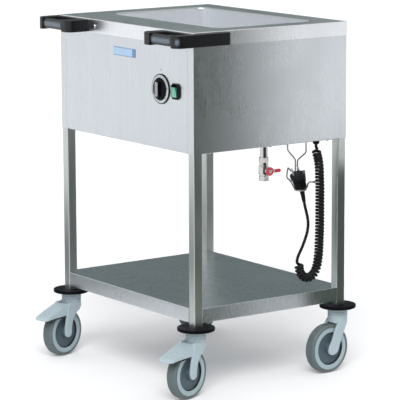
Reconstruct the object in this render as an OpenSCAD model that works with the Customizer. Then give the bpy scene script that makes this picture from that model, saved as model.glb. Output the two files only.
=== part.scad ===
// Heated food trolley: a stainless cabinet with one deep well, an open shelf,
// four swivel castors, two corner handles and a curly mains lead in its holder.
// Millimetres. +X is the operator's right, the front (knob and handles) faces -Y,
// the floor is z = 0 and the origin is under the middle of the whole footprint.

/* [Cabinet] */
// Width of the cabinet over its side skirts
cabinet_w = 600; // [590:1:680]
// Depth of the cabinet over its front and rear skirts
cabinet_l = 476; // [470:1:540]
// Height of the top deck above the floor
top_z = 900; // [880:1:940]
// Height of the cabinet from its bottom edge to the top deck
cabinet_h = 297; // [290:1:320]
// Height of the folded skirt round the top deck
skirt_h = 35; // [33:1:45]
// Thickness of the stainless sheet
sheet = 1.2; // [0.8:0.1:1.5]
// Width of the side panels' return flanges at the front and the rear
corner_flange = 25; // [22:1:30]
// Gap at each side of the front and rear panels
panel_gap = 0.5; // [0.2:0.1:1]
// Width of the inward lips along the panels' bottom edges
bottom_lip = 14; // [12:1:18]
// Distance from the origin back to the middle of the cabinet
cabinet_y = 34; // [20:1:50]
// Diameter of the bottom panel's screws
base_screw_d = 4; // [3:0.5:5]

/* [Well] */
// Inner width of the well
well_w = 484; // [460:1:492]
// Inner length of the well, front to back
well_l = 300; // [280:1:308]
// Depth of the well below the top deck
well_depth = 200; // [150:1:205]
// Distance of the well's middle behind the cabinet's middle
well_shift = 30; // [20:1:32]
// Inner corner radius of the well
well_r = 32; // [20:1:45]
// Width of the well's flange under the deck
well_flange = 10; // [6:1:14]
// Thickness of the insulation round the well
insulation_t = 15; // [8:1:18]
// Diameter of the heating tube
heater_d = 8; // [6:0.5:10]
// Distance between the heating tube's runs
heater_pitch = 60; // [50:1:64]
// Length of the heating tube's straight runs
heater_run = 330; // [250:1:340]
// Gap between pieces that are laid against each other
seat_gap = 0.3; // [0.1:0.1:0.5]

/* [Frame] */
// Width of the square leg tube
leg_w = 25; // [22:1:26]
// Wall of the leg tube
leg_wall = 1.5; // [1:0.1:2]
// Outer corner radius of the leg tube
leg_r = 2.5; // [2:0.5:4]
// Height of the shelf's top face above the floor
shelf_z = 219; // [215:1:225]
// Height of the shelf's folded edge
shelf_h = 37; // [30:1:39]
// Gap between the shelf and the legs
shelf_gap = 0.3; // [0.1:0.1:1]
// Width of the lip folded in under the shelf's edge
shelf_lip = 12; // [8:1:20]
// Length of the plug in the foot of each leg
leg_plug_h = 45; // [30:1:60]

/* [Castors] */
// Diameter of the wheels
wheel_d = 125; // [120:1:128]
// Width of the tyre
tyre_w = 30; // [26:1:32]
// Diameter of the rim under the tyre
rim_d = 109; // [102:1:111]
// Width of the tyre's rounded edges
tyre_edge = 4; // [3:0.5:6]
// Height of the tyre's rounded edges
tyre_drop = 3.6; // [2:0.1:5]
// Depth of the rim's side below the tyre's side
rim_sink = 1; // [0.5:0.1:2]
// Diameter of the sunk disc inside the rim
disc_d = 84; // [76:1:92]
// Depth of the sunk disc below the tyre's side
disc_sink = 6; // [4:0.5:9]
// Diameter of the wheel's hub
hub_d = 30; // [24:1:36]
// Diameter of the axle
axle_d = 8; // [6:0.5:10]
// Horizontal distance from the swivel axis to the axle
trail = 38; // [36:1:40]
// Gap between the wheel's top and the castor's neck
neck_gap = 3; // [3:0.5:5]
// Height of the castor's neck
neck_h = 36; // [33:1:40]
// How far the castor's neck stands out past its cheeks
neck_lip = 0.5; // [0.3:0.1:1]
// How far the neck's hood hangs down round the wheel
hood_drop = 12; // [6:1:16]
// Distance between the castor's cheeks
fork_w = 37; // [36:0.5:40]
// Thickness of the castor's cheeks
cheek_t = 6.5; // [5:0.5:8]
// Radius of the cheeks' upper part
cheek_top_r = 20; // [19:0.5:23]
// Radius of the cheeks' lower ends
cheek_end_r = 14.5; // [14:0.5:18]
// Diameter of the swivel stem
stem_d = 12; // [10:0.5:14]
// Diameter of the stem's head
stem_head_d = 22; // [20:1:26]
// Height of the stem's head
stem_head_h = 4; // [3:0.5:6]
// Diameter of the swivel race
race_d = 40; // [34:1:42]
// Height of the swivel race
race_h = 6; // [4:0.5:8]
// Diameter of the bumper discs
bumper_d = 94; // [80:1:100]
// Height of the bumper discs
bumper_h = 9; // [8:1:14]
// Radial clearance of shafts in their holes
fit = 0.05; // [0.02:0.01:0.08]
// Turn of the front castors at rest
front_turn = 16; // [0:1:20]
// Turn of the rear castors at rest
rear_turn = 5; // [0:1:20]

/* [Brake pedals] */
// Distance of the pedal's tip in front of the swivel axis
pedal_reach = 123; // [114:1:124]
// Width of the pedal
pedal_w = 46; // [44:1:50]
// Height of the pedal's lower edge above the wheel's axle
pedal_low = 41; // [41:1:44]
// Corner radius of the pedal's tip
pedal_r = 10; // [6:1:14]
// Diameter of the pedal's pin
pedal_pin_d = 5; // [4:0.5:6]
// Wall of the pedal round its pin
pedal_barrel_t = 3; // [2:0.5:3]
// Gap between the pedal and the cheeks
pedal_gap = 1.2; // [0.8:0.1:1.5]

/* [Handles] */
// Distance that the grip stands in front of the cabinet
handle_reach = 60; // [54:1:66]
// Distance from the cabinet's side to the handle's inner end
handle_span = 136; // [128:1:150]
// Thickness of the handle's arm along the side of the cabinet
handle_arm_t = 16; // [14:1:20]
// Length of the arm along the side of the cabinet
handle_arm_l = 102; // [98:1:120]
// Height of the handle
handle_h = 31; // [29:1:32]
// Distance from the top deck down to the handle
handle_drop = 3; // [1:1:3]
// Radius of the handle's outer corners
handle_r = 20; // [14:1:24]
// Depth of the grip, front to back
grip_t = 24; // [20:1:27]
// How much slimmer the grip is than the end blocks
grip_relief = 2.5; // [1:0.5:4]
// Length of the handle's outer end block
handle_outer_block = 27; // [24:1:32]
// Length of the handle's inner end block
handle_inner_block = 36; // [30:1:40]
// Thickness of the handle's web against the cabinet
handle_web = 7; // [6:0.5:8]
// Corner radius of the finger gap
finger_r = 7; // [4:1:10]
// Diameter of the handle screws
handle_screw_d = 6; // [4:0.5:6]
// Width of the handle screws' nuts
handle_nut_w = 10; // [8:1:11]
// Distance from the handle's inner end to the screw beside it
handle_side_screw = 27; // [22:1:32]

/* [Controls] */
// Distance of the thermostat's axis from the cabinet's right side
dial_inset = 139; // [130:1:150]
// Height of the thermostat's axis above the cabinet's bottom edge
dial_up = 148; // [120:1:180]
// Diameter of the dial ring
dial_d = 75; // [66:1:80]
// Thickness of the dial ring
dial_t = 3; // [2:0.5:4]
// Diameter of the knob
knob_d = 56; // [46:1:60]
// Height of the knob's round foot
knob_foot_h = 4; // [3:0.5:8]
// Height of the knob's grip bar above its foot
knob_bar_h = 8; // [6:1:18]
// Width of the knob's grip bar
knob_bar_w = 14; // [10:1:16]
// Length of the knob's grip bar
knob_bar_l = 38; // [30:1:46]
// Gap between the knob and the dial ring
knob_gap = 0.5; // [0.3:0.1:1]
// Diameter of the thermostat's spindle
spindle_d = 6; // [5:0.5:8]
// Width of the thermostat's body
thermostat_w = 44; // [36:1:48]
// Depth of the thermostat's body
thermostat_l = 28; // [20:1:34]
// Distance of the switch from the cabinet's right side
switch_inset = 75; // [62:1:80]
// Width of the switch's bezel
bezel_w = 34; // [32:1:38]
// Height of the switch's bezel
bezel_h = 40; // [39:1:46]
// Thickness of the switch's bezel
bezel_t = 5; // [3:0.5:6]
// Width of the bezel's cut corners
bezel_cut = 5; // [2:0.5:6]
// Width of the rocker
rocker_w = 20; // [18:1:23]
// Height of the rocker
rocker_h = 27; // [22:1:27]
// How far the rocker stands in front of its pivot
rocker_out = 12; // [7:0.5:13]
// Tilt of the rocker at rest
rocker_tilt = 10; // [6:1:12]
// Depth of the switch behind the panel
switch_l = 30; // [26:1:36]
// Width of the badge plate
badge_w = 98; // [60:1:120]
// Height of the badge plate
badge_h = 22; // [16:1:30]
// Thickness of the badge plate
badge_t = 1; // [0.5:0.1:2]
// Distance from the top deck down to the badge plate's middle
badge_drop = 72; // [62:1:97]

/* [Drain] */
// Distance of the drain from the well's right end wall
drain_inset = 21; // [20:1:42]
// Distance of the drain behind the well's middle
drain_shift = 4; // [-20:1:20]
// Outer diameter of the drain pipe
drain_d = 20; // [18:0.5:22]
// Wall of the drain pipe
drain_wall = 2; // [1.5:0.1:3]
// Height of the drain valve's outlet below the cabinet
drain_drop = 100; // [96:1:110]
// Height of the drain valve's body
valve_h = 60; // [56:1:64]
// Diameter of the drain valve's body
valve_d = 27; // [26:1:30]
// Height of the valve's hexagonal ends
valve_hex_h = 13; // [10:1:15]
// Diameter of the valve's ball
ball_d = 18; // [16:0.5:18.5]
// Gap round the valve's ball
ball_gap = 0.3; // [0.2:0.1:0.5]
// Bore of the valve
valve_bore = 12; // [8:0.5:13]
// Diameter of the valve's stem
valve_stem_d = 6; // [5:0.5:7]
// Distance from the valve's side to the lever
lever_out = 12; // [10:0.5:14]
// Diameter of the lever's hub
lever_hub_d = 22; // [18:1:24]
// Length of the lever from the stem's axis
lever_l = 34; // [30:1:44]
// Width of the lever
lever_w = 9; // [6:0.5:12]
// Thickness of the lever
lever_t = 3; // [2:0.5:4]

/* [Mains lead] */
// Diameter of the cable
cable_d = 7.5; // [6:0.1:8]
// Outer diameter of the curly stretch
coil_d = 24; // [22:0.5:26]
// Diameter of the cable gland
gland_d = 17; // [14:1:19]
// Diameter of the cable gland's thread
gland_thread_d = 12; // [11:0.5:13]
// Diameter of the plug's round end
plug_end_d = 31; // [28:1:33]
// Diameter of the plug's face
plug_d = 37; // [35:1:38]
// Length of the plug's body
plug_l = 46; // [42:1:50]
// Length of the plug's round face part
plug_face_l = 14; // [10:1:18]
// Diameter of the strain relief at the plug
relief_d = 13; // [11:0.5:14]
// Length of the plug's pins
pin_l = 19; // [15:1:20]
// Diameter of the plug's pins
pin_d = 4.8; // [4:0.1:5]
// Distance between the plug's pins
pin_pitch = 19; // [17:0.5:20]
// Tilt of the plug in its holder
plug_tilt = 22; // [16:1:26]
// Distance of the lead from the cabinet's right side
lead_inset = 32; // [28:1:36]
// Distance of the lead's gland from the cabinet's rear
gland_inset = 74; // [70:1:90]
// Distance from the cabinet's bottom edge down to the gland's end
gland_drop = 14; // [13:1:22]

/* [Plug holder] */
// Diameter of the holder's wire
wire_d = 4; // [3:0.5:4.5]
// Radius of the ring that carries the plug
ring_r = 14; // [13:0.5:15]
// Radius of the wire's bends
wire_bend = 5; // [4:0.5:6]

/* [Hidden] */
$fn = 64;

steel = "silver";
dark = [0.13, 0.14, 0.16];
blue_grey = [0.66, 0.73, 0.76];
slate = [0.33, 0.38, 0.42];
rubber = [0.42, 0.45, 0.44];

// Small overlap that keeps a cut's faces off the faces it cuts
cut = 1;

// Faces of the sheets, in the cabinet's own frame
skirt_x = cabinet_w / 2;
skirt_y = cabinet_l / 2;
panel_x = skirt_x - sheet;
panel_y = skirt_y - sheet;
inner_x = panel_x - sheet;
inner_y = panel_y - sheet;
deck_under = top_z - sheet;
base_z = top_z - cabinet_h;
base_top = base_z + sheet;
floor_top = base_top + sheet;
leg_x = inner_x - leg_w / 2;
leg_y = inner_y - leg_w / 2;
notch_w = leg_w + 2 * shelf_gap;
lip_x = leg_x - notch_w / 2;
lip_y = leg_y - notch_w / 2;
seam_x = panel_x - corner_flange;
front_half = seam_x - panel_gap;

// The well and what lies round it
well_floor = top_z - well_depth;
well_under = well_floor - sheet;
heater_z = well_under - seat_gap - heater_d / 2;
heater_x = -30;
heater_rows = 3;
blanket_top = deck_under - sheet - seat_gap;
blanket_floor = heater_z - heater_d / 2 - seat_gap;
blanket_w = well_w + 2 * (sheet + seat_gap);
blanket_l = well_l + 2 * (sheet + seat_gap);

// Heights and half widths of a castor, whose wheel trails towards -Y
wheel_r = wheel_d / 2;
neck_z = wheel_d + neck_gap;
bumper_z = neck_z + neck_h;
leg_z = bumper_z + bumper_h;
cheek_rise = 18;
hood_z = neck_z - hood_drop;
ledge_z = neck_z + 12;
race_z = bumper_z - race_h;
cheek_in = fork_w / 2;
cheek_out = cheek_in + cheek_t;
neck_d = 2 * (cheek_out + neck_lip);
axle_half = cheek_out - 2;
running_half = cheek_in - seat_gap;
pivot_u = 32;
pivot_z = neck_z + 5;
ear_r = pedal_pin_d / 2 + 4.5;
pocket_gap = 2;
castor_side = [[-1, -1], [1, -1], [-1, 1], [1, 1]];
castor_turn = [front_turn, front_turn, rear_turn, rear_turn];

// Handles
handle_z = top_z - handle_drop - handle_h;
handle_mid_z = handle_z + handle_h / 2;
handle_end_x = skirt_x - handle_span;
handle_out_x = skirt_x + handle_arm_t;
handle_front_y = -skirt_y - handle_reach;
handle_back_y = handle_arm_l - skirt_y;
grip_from = handle_end_x + handle_inner_block;
grip_to = handle_out_x - handle_outer_block;
screw_in = handle_web - 1;
screw_edge = 14;
nut_h = 4;
nut_depth = 2 * sheet + nut_h + 3;
arm_screw_y = [handle_back_y - screw_edge, 2 * screw_edge - lip_y];
web_screw_x = [handle_end_x + screw_edge, lip_x - screw_edge];

// Controls
dial_z = base_z + dial_up;
dial_x = skirt_x - dial_inset;
switch_x = skirt_x - switch_inset;
badge_z = top_z - badge_drop;
collar_d = spindle_d + 5;
spindle_in = 12;
spindle_tip = dial_t + knob_gap + knob_foot_h + 5;
switch_in_w = rocker_w + 2 * seat_gap;
switch_in_h = rocker_h + 7;
switch_wall = 1.5;
trunnion_r = 1.5;
terminal_x = 60;
terminal_gap = 50;
terminal_y = terminal_gap - panel_y;

// Drain
drain_x = well_w / 2 - drain_inset;
drain_y = well_shift + drain_shift;
outlet_z = base_z - drain_drop;
valve_mid = outlet_z + valve_h / 2 - 3;
boss_l = lever_out - 4;
lever_x = valve_d / 2 + lever_out;

// The lead hangs from its gland in the plane x = lead_x of the cabinet's frame. Its points are
// [distance behind the gland's axis, height above the cabinet's bottom edge]
lead_x = skirt_x - lead_inset;
gland_y = skirt_y - gland_inset;
coil_points = [[0, -gland_drop], [0, -28], [4, -41], [8, -55], [11, -78], [12, -103], [13, -128],
    [13, -153], [13, -178], [13, -203], [13, -228], [12, -253], [11, -273], [10, -293],
    [7, -315], [2, -333], [-6, -346], [-17, -353], [-28, -354], [-39, -350], [-48, -341],
    [-52, -329], [-53, -322], [-53, -315]];
tail_points = [[-62, -315], [-62, -311], [-60, -303], [-54, -291], [-45, -276], [-36, -258],
    [-29, -241], [-25, -224], [-25, -207], [-29, -189], [-34.5, -170], [-38, -155]];
relief_start = [-38, -155];
plug_start = [-45, -125];

// Centre of the plug's round end, and the ring below it
plug_mid = 12;
plug_ball = plug_start + plug_mid * [-sin(plug_tilt), cos(plug_tilt)];
ring_reach = plug_end_d / 2 + wire_d / 2 + seat_gap;
ring_z = plug_ball[1] - sqrt(ring_reach * ring_reach - ring_r * ring_r);

// The holder's wire from its two feet to the ring, and the arm that steadies the coil
wire_gap = 1.5;
wire_x = -(plug_d + wire_d) / 2 - wire_gap;
foot_y = [-74, -15];
wire_top = 2 * sheet + 7;
left_wire = [[wire_x, foot_y[0], wire_top], [wire_x, foot_y[0], -24], [wire_x, -49, -50],
    [wire_x, -49, -82], [wire_x, -61, -80], [wire_x, -73, -68], [wire_x, -77, -94],
    [wire_x, -66, -102], [-ring_r * cos(40), plug_ball[0] - ring_r * sin(40), ring_z]];
right_wire = [[wire_x, foot_y[1], wire_top], [wire_x, foot_y[1], -36], [wire_x, -42, -52],
    [wire_x, -42, -84], [wire_x, -30, -85], [wire_x, -20, -80], [wire_x, -16, -111],
    [wire_x, -28, -121], [-ring_r * cos(40), plug_ball[0] + ring_r * sin(40), ring_z]];
arm_wire = [[0, plug_ball[0] + ring_r - 1, ring_z], [0, -28, -122], [0, -26, -110],
    [0, -17, -108], [0, -8, -109]];
tip_end = [0, -3, -109.5];

module at_cabinet() translate([0, cabinet_y, 0]) children();

module on_side(side) mirror([side < 0 ? 1 : 0, 0, 0]) children();

// Rectangle with round corners
module round_rect(w, l, r) {
    square([w - 2 * r, l], center = true);
    square([w, l - 2 * r], center = true);
    for (sx = [-1, 1], sy = [-1, 1])
        translate([sx * (w / 2 - r), sy * (l / 2 - r)]) circle(r);
}

// Upright block with round corners, from z0 up to z1
module block(w, l, r, z0, z1) translate([0, 0, z0]) linear_extrude(z1 - z0) round_rect(w, l, r);

// Box from one corner to the opposite one
module box(a, b) translate(a) cube(b - a);

// Two circles and the straight tangents between them
module link(a, ra, b, rb) {
    way = atan2(b[1] - a[1], b[0] - a[0]);
    lean = acos((ra - rb) / norm(b - a));
    left = [cos(way + lean), sin(way + lean)];
    right = [cos(way - lean), sin(way - lean)];
    translate(a) circle(ra);
    translate(b) circle(rb);
    polygon([a + ra * left, b + rb * left, b + rb * right, a + ra * right]);
}

// Cylinder of radius r along X, and one along Y
module x_cylinder(r, w) rotate([0, 90, 0]) cylinder(h = w, r = r, center = true);
module y_cylinder(r, w) rotate([90, 0, 0]) cylinder(h = w, r = r, center = true);

// Outline drawn as [distance in front of the swivel axis, height], w wide along the axle
module side_extrude(w) rotate([0, 0, -90]) rotate([90, 0, 0]) linear_extrude(w, center = true)
    children();

// The lead's frame: origin where the gland's axis meets the cabinet's bottom edge
module at_gland() at_cabinet() translate([lead_x, gland_y, base_z]) children();

module at_castor(i) at_cabinet() translate([castor_side[i][0] * leg_x, castor_side[i][1] * leg_y, 0])
    rotate([0, 0, castor_turn[i]]) children();

module at_axle(i) at_castor(i) translate([0, -trail, wheel_r]) children();

// Four like pieces, one in line with each leg
module at_each_leg() at_cabinet() for (side = castor_side)
    translate([side[0] * leg_x, side[1] * leg_y, 0]) children();

// Front panel's frame: origin on its outer face, +Z out towards the operator
module at_face(x, z) at_cabinet() translate([x, -panel_y, z]) rotate([90, 0, 0]) children();

// ---- Cabinet --------------------------------------------------------------------

// Shafts of radius r through the skirt into the handles
module handle_shafts(r) {
    for (side = [-1, 1], y = arm_screw_y) translate([side * skirt_x, y, handle_mid_z])
        on_side(side) translate([(screw_in - nut_depth) / 2, 0, 0])
        x_cylinder(r, screw_in + nut_depth);
    for (side = [-1, 1], x = web_screw_x) translate([side * x, -skirt_y, handle_mid_z])
        translate([0, (nut_depth - screw_in) / 2, 0]) y_cylinder(r, screw_in + nut_depth);
    for (side = [-1, 1]) translate([side * (handle_end_x - handle_side_screw), -skirt_y, handle_mid_z])
        translate([0, nut_depth / 2, 0]) y_cylinder(r, nut_depth + 2);
}

module top_frame() color(steel) at_cabinet() difference() {
    box([-skirt_x, -skirt_y, top_z - skirt_h], [skirt_x, skirt_y, top_z]);
    box([-panel_x, -panel_y, top_z - skirt_h - cut], [panel_x, panel_y, deck_under]);
    translate([0, well_shift, 0]) block(well_w, well_l, well_r, deck_under - cut, top_z + cut);
    handle_shafts(handle_screw_d / 2 + fit);
}

module well() color(steel) at_cabinet() difference() {
    translate([0, well_shift, 0]) {
        block(well_w + 2 * sheet, well_l + 2 * sheet, well_r + sheet, well_under, deck_under);
        block(well_w + 2 * well_flange, well_l + 2 * well_flange, well_r + well_flange,
            deck_under - sheet, deck_under);
    }
    translate([0, well_shift, 0]) block(well_w, well_l, well_r, well_floor, deck_under + cut);
    translate([drain_x, drain_y, well_floor]) cylinder(h = 3 * sheet, d = drain_d - 2 * drain_wall, center = true);
}

module side_panel(side) color(steel) at_cabinet() difference() {
    on_side(side) {
        box([inner_x, -panel_y, base_z], [panel_x, panel_y, deck_under]);
        box([seam_x, -panel_y, base_z], [panel_x, -inner_y, deck_under]);
        box([seam_x, inner_y, base_z], [panel_x, panel_y, deck_under]);
        box([panel_x - bottom_lip, -lip_y, base_z], [panel_x, lip_y, base_top]);
    }
    handle_shafts(handle_screw_d / 2 + fit);
    base_screw_places() cylinder(h = 4 * sheet, d = base_screw_d + 2 * fit, center = true);
}

module side_panel_left() side_panel(-1);
module side_panel_right() side_panel(1);

module front_panel() color(steel) difference() {
    at_cabinet() {
        box([-front_half, -panel_y, base_z], [front_half, -inner_y, deck_under]);
        box([-lip_x, -panel_y, base_z], [lip_x, bottom_lip - panel_y, base_top]);
    }
    at_cabinet() handle_shafts(handle_screw_d / 2 + fit);
    at_face(dial_x, dial_z) cylinder(h = 4 * sheet, d = collar_d + 1, center = true);
    at_face(switch_x, dial_z)
        cube([switch_in_w + 2 * switch_wall + 1, switch_in_h + 2 * switch_wall + 1, 4 * sheet], center = true);
}

module rear_panel() color(steel) at_cabinet() {
    box([-front_half, inner_y, base_z], [front_half, panel_y, deck_under]);
    box([-lip_x, panel_y - bottom_lip, base_z], [lip_x, panel_y, base_top]);
}

module base_screw_places() for (sx = [-1, 1], row = [-1, 0, 1])
    translate([sx * (panel_x - bottom_lip / 2), row * (lip_y - 30), base_top]) children();

module bottom_panel() color(steel) at_cabinet() difference() {
    box([seat_gap - inner_x, seat_gap - inner_y, base_top], [inner_x - seat_gap, inner_y - seat_gap, floor_top]);
    for (sx = [-1, 1], sy = [-1, 1]) translate([sx * leg_x, sy * leg_y, floor_top])
        cube([notch_w, notch_w, 4 * sheet], center = true);
    translate([drain_x, drain_y, floor_top]) cylinder(h = 4 * sheet, d = drain_d + 2 * seat_gap, center = true);
    translate([lead_x, gland_y, floor_top]) cylinder(h = 4 * sheet, d = gland_thread_d + 2 * fit, center = true);
    base_screw_places() cylinder(h = 4 * sheet, d = base_screw_d + 2 * fit, center = true);
    for (y = foot_y) translate([lead_x + wire_x, gland_y + y, floor_top])
        cylinder(h = 4 * sheet, d = wire_d + 2 * fit, center = true);
}

module base_screws() color(steel) at_cabinet() base_screw_places() {
    translate([0, 0, -sheet - 2]) cylinder(h = 2, d = 2 * base_screw_d);
    translate([0, 0, -sheet - 1]) cylinder(h = 2 * sheet + 4, d = base_screw_d);
}

module handle_screws() color(steel) at_cabinet() {
    handle_shafts(handle_screw_d / 2);
    for (side = [-1, 1], y = arm_screw_y) translate([side * (inner_x - nut_h / 2), y, handle_mid_z])
        x_cylinder(handle_nut_w / 2, nut_h);
    for (side = [-1, 1], x = concat(web_screw_x, [handle_end_x - handle_side_screw]))
        translate([side * x, nut_h / 2 - inner_y, handle_mid_z]) y_cylinder(handle_nut_w / 2, nut_h);
    for (side = [-1, 1]) translate([side * (handle_end_x - handle_side_screw), -skirt_y - 1, handle_mid_z])
        y_cylinder(handle_nut_w / 2, 2);
}

// ---- Legs and shelf -------------------------------------------------------------

module leg(side, row) color(steel) at_cabinet() translate([side * leg_x, row * leg_y, 0]) difference() {
    block(leg_w, leg_w, leg_r, leg_z, deck_under);
    block(leg_w - 2 * leg_wall, leg_w - 2 * leg_wall, leg_r / 2, leg_z - cut, deck_under + cut);
}

module leg_front_left() leg(-1, -1);
module leg_front_right() leg(1, -1);
module leg_rear_left() leg(-1, 1);
module leg_rear_right() leg(1, 1);

module lower_shelf() color(steel) at_cabinet() difference() {
    box([-inner_x, -inner_y, shelf_z - shelf_h], [inner_x, inner_y, shelf_z]);
    box([sheet - inner_x, sheet - inner_y, shelf_z - shelf_h + sheet],
        [inner_x - sheet, inner_y - sheet, shelf_z - sheet]);
    box([shelf_lip - inner_x, shelf_lip - inner_y, shelf_z - shelf_h - cut],
        [inner_x - shelf_lip, inner_y - shelf_lip, shelf_z - shelf_h + 2 * sheet]);
    for (sx = [-1, 1], sy = [-1, 1]) translate([sx * leg_x, sy * leg_y, shelf_z - shelf_h / 2])
        cube([notch_w, notch_w, shelf_h + 2 * cut], center = true);
}

module leg_plugs() color(dark) at_each_leg() difference() {
    plug_w = leg_w - 2 * leg_wall - seat_gap;
    block(plug_w, plug_w, leg_r / 2, leg_z, leg_z + leg_plug_h);
    translate([0, 0, leg_z - cut]) cylinder(h = leg_plug_h + 2 * cut, d = stem_d + 2 * fit);
}

module bumper_discs() color(dark) at_each_leg() difference() {
    union() {
        translate([0, 0, bumper_z]) cylinder(h = 2, d1 = bumper_d - 4, d2 = bumper_d);
        translate([0, 0, bumper_z + 2]) cylinder(h = bumper_h - 4, d = bumper_d);
        translate([0, 0, leg_z - 2]) cylinder(h = 2, d1 = bumper_d, d2 = bumper_d - 4);
    }
    translate([0, 0, bumper_z - cut]) cylinder(h = bumper_h + 2 * cut, d = stem_d + 2 * fit);
}

module castor_stems() color(steel) at_each_leg() translate([0, 0, ledge_z - seat_gap]) {
    translate([0, 0, -stem_head_h]) cylinder(h = stem_head_h, d = stem_head_d);
    translate([0, 0, -cut]) cylinder(h = leg_z + leg_plug_h - ledge_z, d = stem_d);
}

module swivel_races() color(steel) at_each_leg() translate([0, 0, race_z]) difference() {
    cylinder(h = race_h, d = race_d);
    translate([0, 0, -cut]) cylinder(h = race_h + 2 * cut, d = stem_d + 2 * fit);
}

// ---- Castors --------------------------------------------------------------------

// Side view of a cheek grown by g; a braked castor has ears for the pedal's pin
module cheek_outline(g, braked) {
    knee = [cheek_top_r, neck_z - 24];
    link(knee, cheek_top_r + g, [trail, wheel_r], cheek_end_r + g);
    polygon([[-10, neck_z + cheek_rise], [10, neck_z + cheek_rise], [27 + g, neck_z],
        [knee[0] + cheek_top_r + g, knee[1]], [0, knee[1]]]);
    if (braked) link([14, neck_z - 4], 8 + g, [pivot_u, pivot_z], ear_r + g);
}

module housing(i) color(blue_grey) difference() {
    braked = castor_side[i][1] < 0;
    union() {
        difference() {
            at_castor(i) translate([0, 0, hood_z]) cylinder(h = hood_drop + neck_h - seat_gap, d = neck_d);
            at_axle(i) x_cylinder(wheel_r + neck_gap, fork_w);
        }
        for (side = [-1, 1]) at_castor(i) translate([side * (cheek_in + cheek_t / 2), 0, 0])
            side_extrude(cheek_t) cheek_outline(0, braked);
    }
    at_castor(i) {
        translate([0, 0, race_z - seat_gap]) cylinder(h = race_h + cut, d = race_d + 2 * seat_gap);
        translate([0, 0, ledge_z - cut]) cylinder(h = neck_h, d = stem_d + 2 * fit);
        translate([0, 0, hood_z - cut]) cylinder(h = ledge_z - hood_z + cut, d = stem_head_d + 2);
        if (braked) translate([0, -pivot_u, pivot_z]) x_cylinder(pedal_pin_d / 2 + fit, 2 * axle_half + 0.2);
    }
    at_axle(i) x_cylinder(axle_d / 2 + fit, 2 * axle_half + 0.2);
}

module housing_front_left() housing(0);
module housing_front_right() housing(1);
module housing_rear_left() housing(2);
module housing_rear_right() housing(3);

module rim(i) color(slate) at_axle(i) difference() {
    union() {
        x_cylinder(rim_d / 2, tyre_w - 2 * rim_sink);
        x_cylinder(hub_d / 2, 2 * running_half);
    }
    for (side = [-1, 1]) translate([side * (tyre_w - disc_sink), 0, 0]) difference() {
        x_cylinder(disc_d / 2, tyre_w);
        x_cylinder(hub_d / 2, tyre_w + cut);
    }
    x_cylinder(axle_d / 2 + fit, 2 * cheek_out);
}

module rim_front_left() rim(0);
module rim_front_right() rim(1);
module rim_rear_left() rim(2);
module rim_rear_right() rim(3);

module tyre(i) color(rubber) at_axle(i) difference() {
    union() {
        x_cylinder(wheel_r, tyre_w - 2 * tyre_edge);
        x_cylinder(wheel_r - tyre_drop / 3, tyre_w - tyre_edge);
        x_cylinder(wheel_r - tyre_drop, tyre_w);
    }
    x_cylinder(rim_d / 2 + fit, tyre_w + 2 * cut);
}

module tyre_front_left() tyre(0);
module tyre_front_right() tyre(1);
module tyre_rear_left() tyre(2);
module tyre_rear_right() tyre(3);

// Axle; a braked castor's node holds the pedal's pin as well
module axle(i) color(steel) {
    at_axle(i) x_cylinder(axle_d / 2, 2 * axle_half);
    if (castor_side[i][1] < 0) at_castor(i) translate([0, -pivot_u, pivot_z])
        x_cylinder(pedal_pin_d / 2, 2 * axle_half);
}

module axle_front_left() axle(0);
module axle_front_right() axle(1);
module axle_rear_left() axle(2);
module axle_rear_right() axle(3);

// Hooded pedal over the wheel, hinged between the ears
module pedal(i) color(blue_grey) difference() {
    low = wheel_r + pedal_low;
    barrel = pedal_pin_d / 2 + pedal_barrel_t;
    at_castor(i) intersection() {
        union() {
            side_extrude(2 * running_half) link([pivot_u, pivot_z], barrel, [pivot_u + 20, pivot_z - 7], 5);
            side_extrude(pedal_w) polygon([[pivot_u, pivot_z + barrel], [pivot_u + 28, pivot_z - 4.5],
                [pedal_reach - 19, low + 8.5], [pedal_reach, low + 3], [pedal_reach - 3, low],
                [pivot_u + 4, low], [pivot_u + 4, pivot_z]]);
        }
        translate([0, -pedal_reach / 2, 0])
            block(pedal_w, pedal_reach, pedal_r, low - cut, pivot_z + barrel + cut);
    }
    at_axle(i) x_cylinder(wheel_r + pocket_gap, 2 * running_half - 1);
    at_castor(i) {
        for (side = [-1, 1]) translate([side * (running_half + 10), 0, 0])
            side_extrude(20) cheek_outline(pedal_gap, true);
        translate([0, -pivot_u, pivot_z]) x_cylinder(pedal_pin_d / 2 + fit, pedal_w);
    }
}

module pedal_front_left() pedal(0);
module pedal_front_right() pedal(1);

// ---- Handles --------------------------------------------------------------------

module handle_plan() difference() {
    union() {
        translate([handle_end_x, handle_front_y]) square([handle_out_x - handle_end_x, handle_reach]);
        translate([skirt_x, -skirt_y - cut]) square([handle_arm_t, handle_arm_l + cut]);
    }
    translate([handle_end_x, handle_front_y]) corner_cut(handle_r);
    translate([handle_out_x, handle_front_y]) mirror([1, 0]) corner_cut(handle_r);
    finger_l = handle_reach - handle_web - grip_t;
    translate([(grip_from + grip_to) / 2, -skirt_y - handle_web - finger_l / 2])
        round_rect(grip_to - grip_from, finger_l, finger_r);
}

// What a round corner leaves of a square one
module corner_cut(r) difference() {
    translate([-cut, -cut]) square(r + cut);
    translate([r, r]) circle(r);
}

module handle(side) color(dark) at_cabinet() difference() {
    on_side(side) difference() {
        translate([0, 0, handle_z]) linear_extrude(handle_h) handle_plan();
        for (z = [handle_z - cut, handle_z + handle_h - grip_relief])
            box([grip_from, handle_front_y - cut, z],
                [grip_to, -skirt_y - handle_web - seat_gap, z + grip_relief + cut]);
        box([grip_from, handle_front_y - cut, handle_z - cut],
            [grip_to, handle_front_y + grip_relief, handle_z + handle_h + cut]);
    }
    handle_shafts(handle_screw_d / 2 + fit);
}

module handle_left() handle(-1);
module handle_right() handle(1);

// ---- Controls -------------------------------------------------------------------

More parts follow.
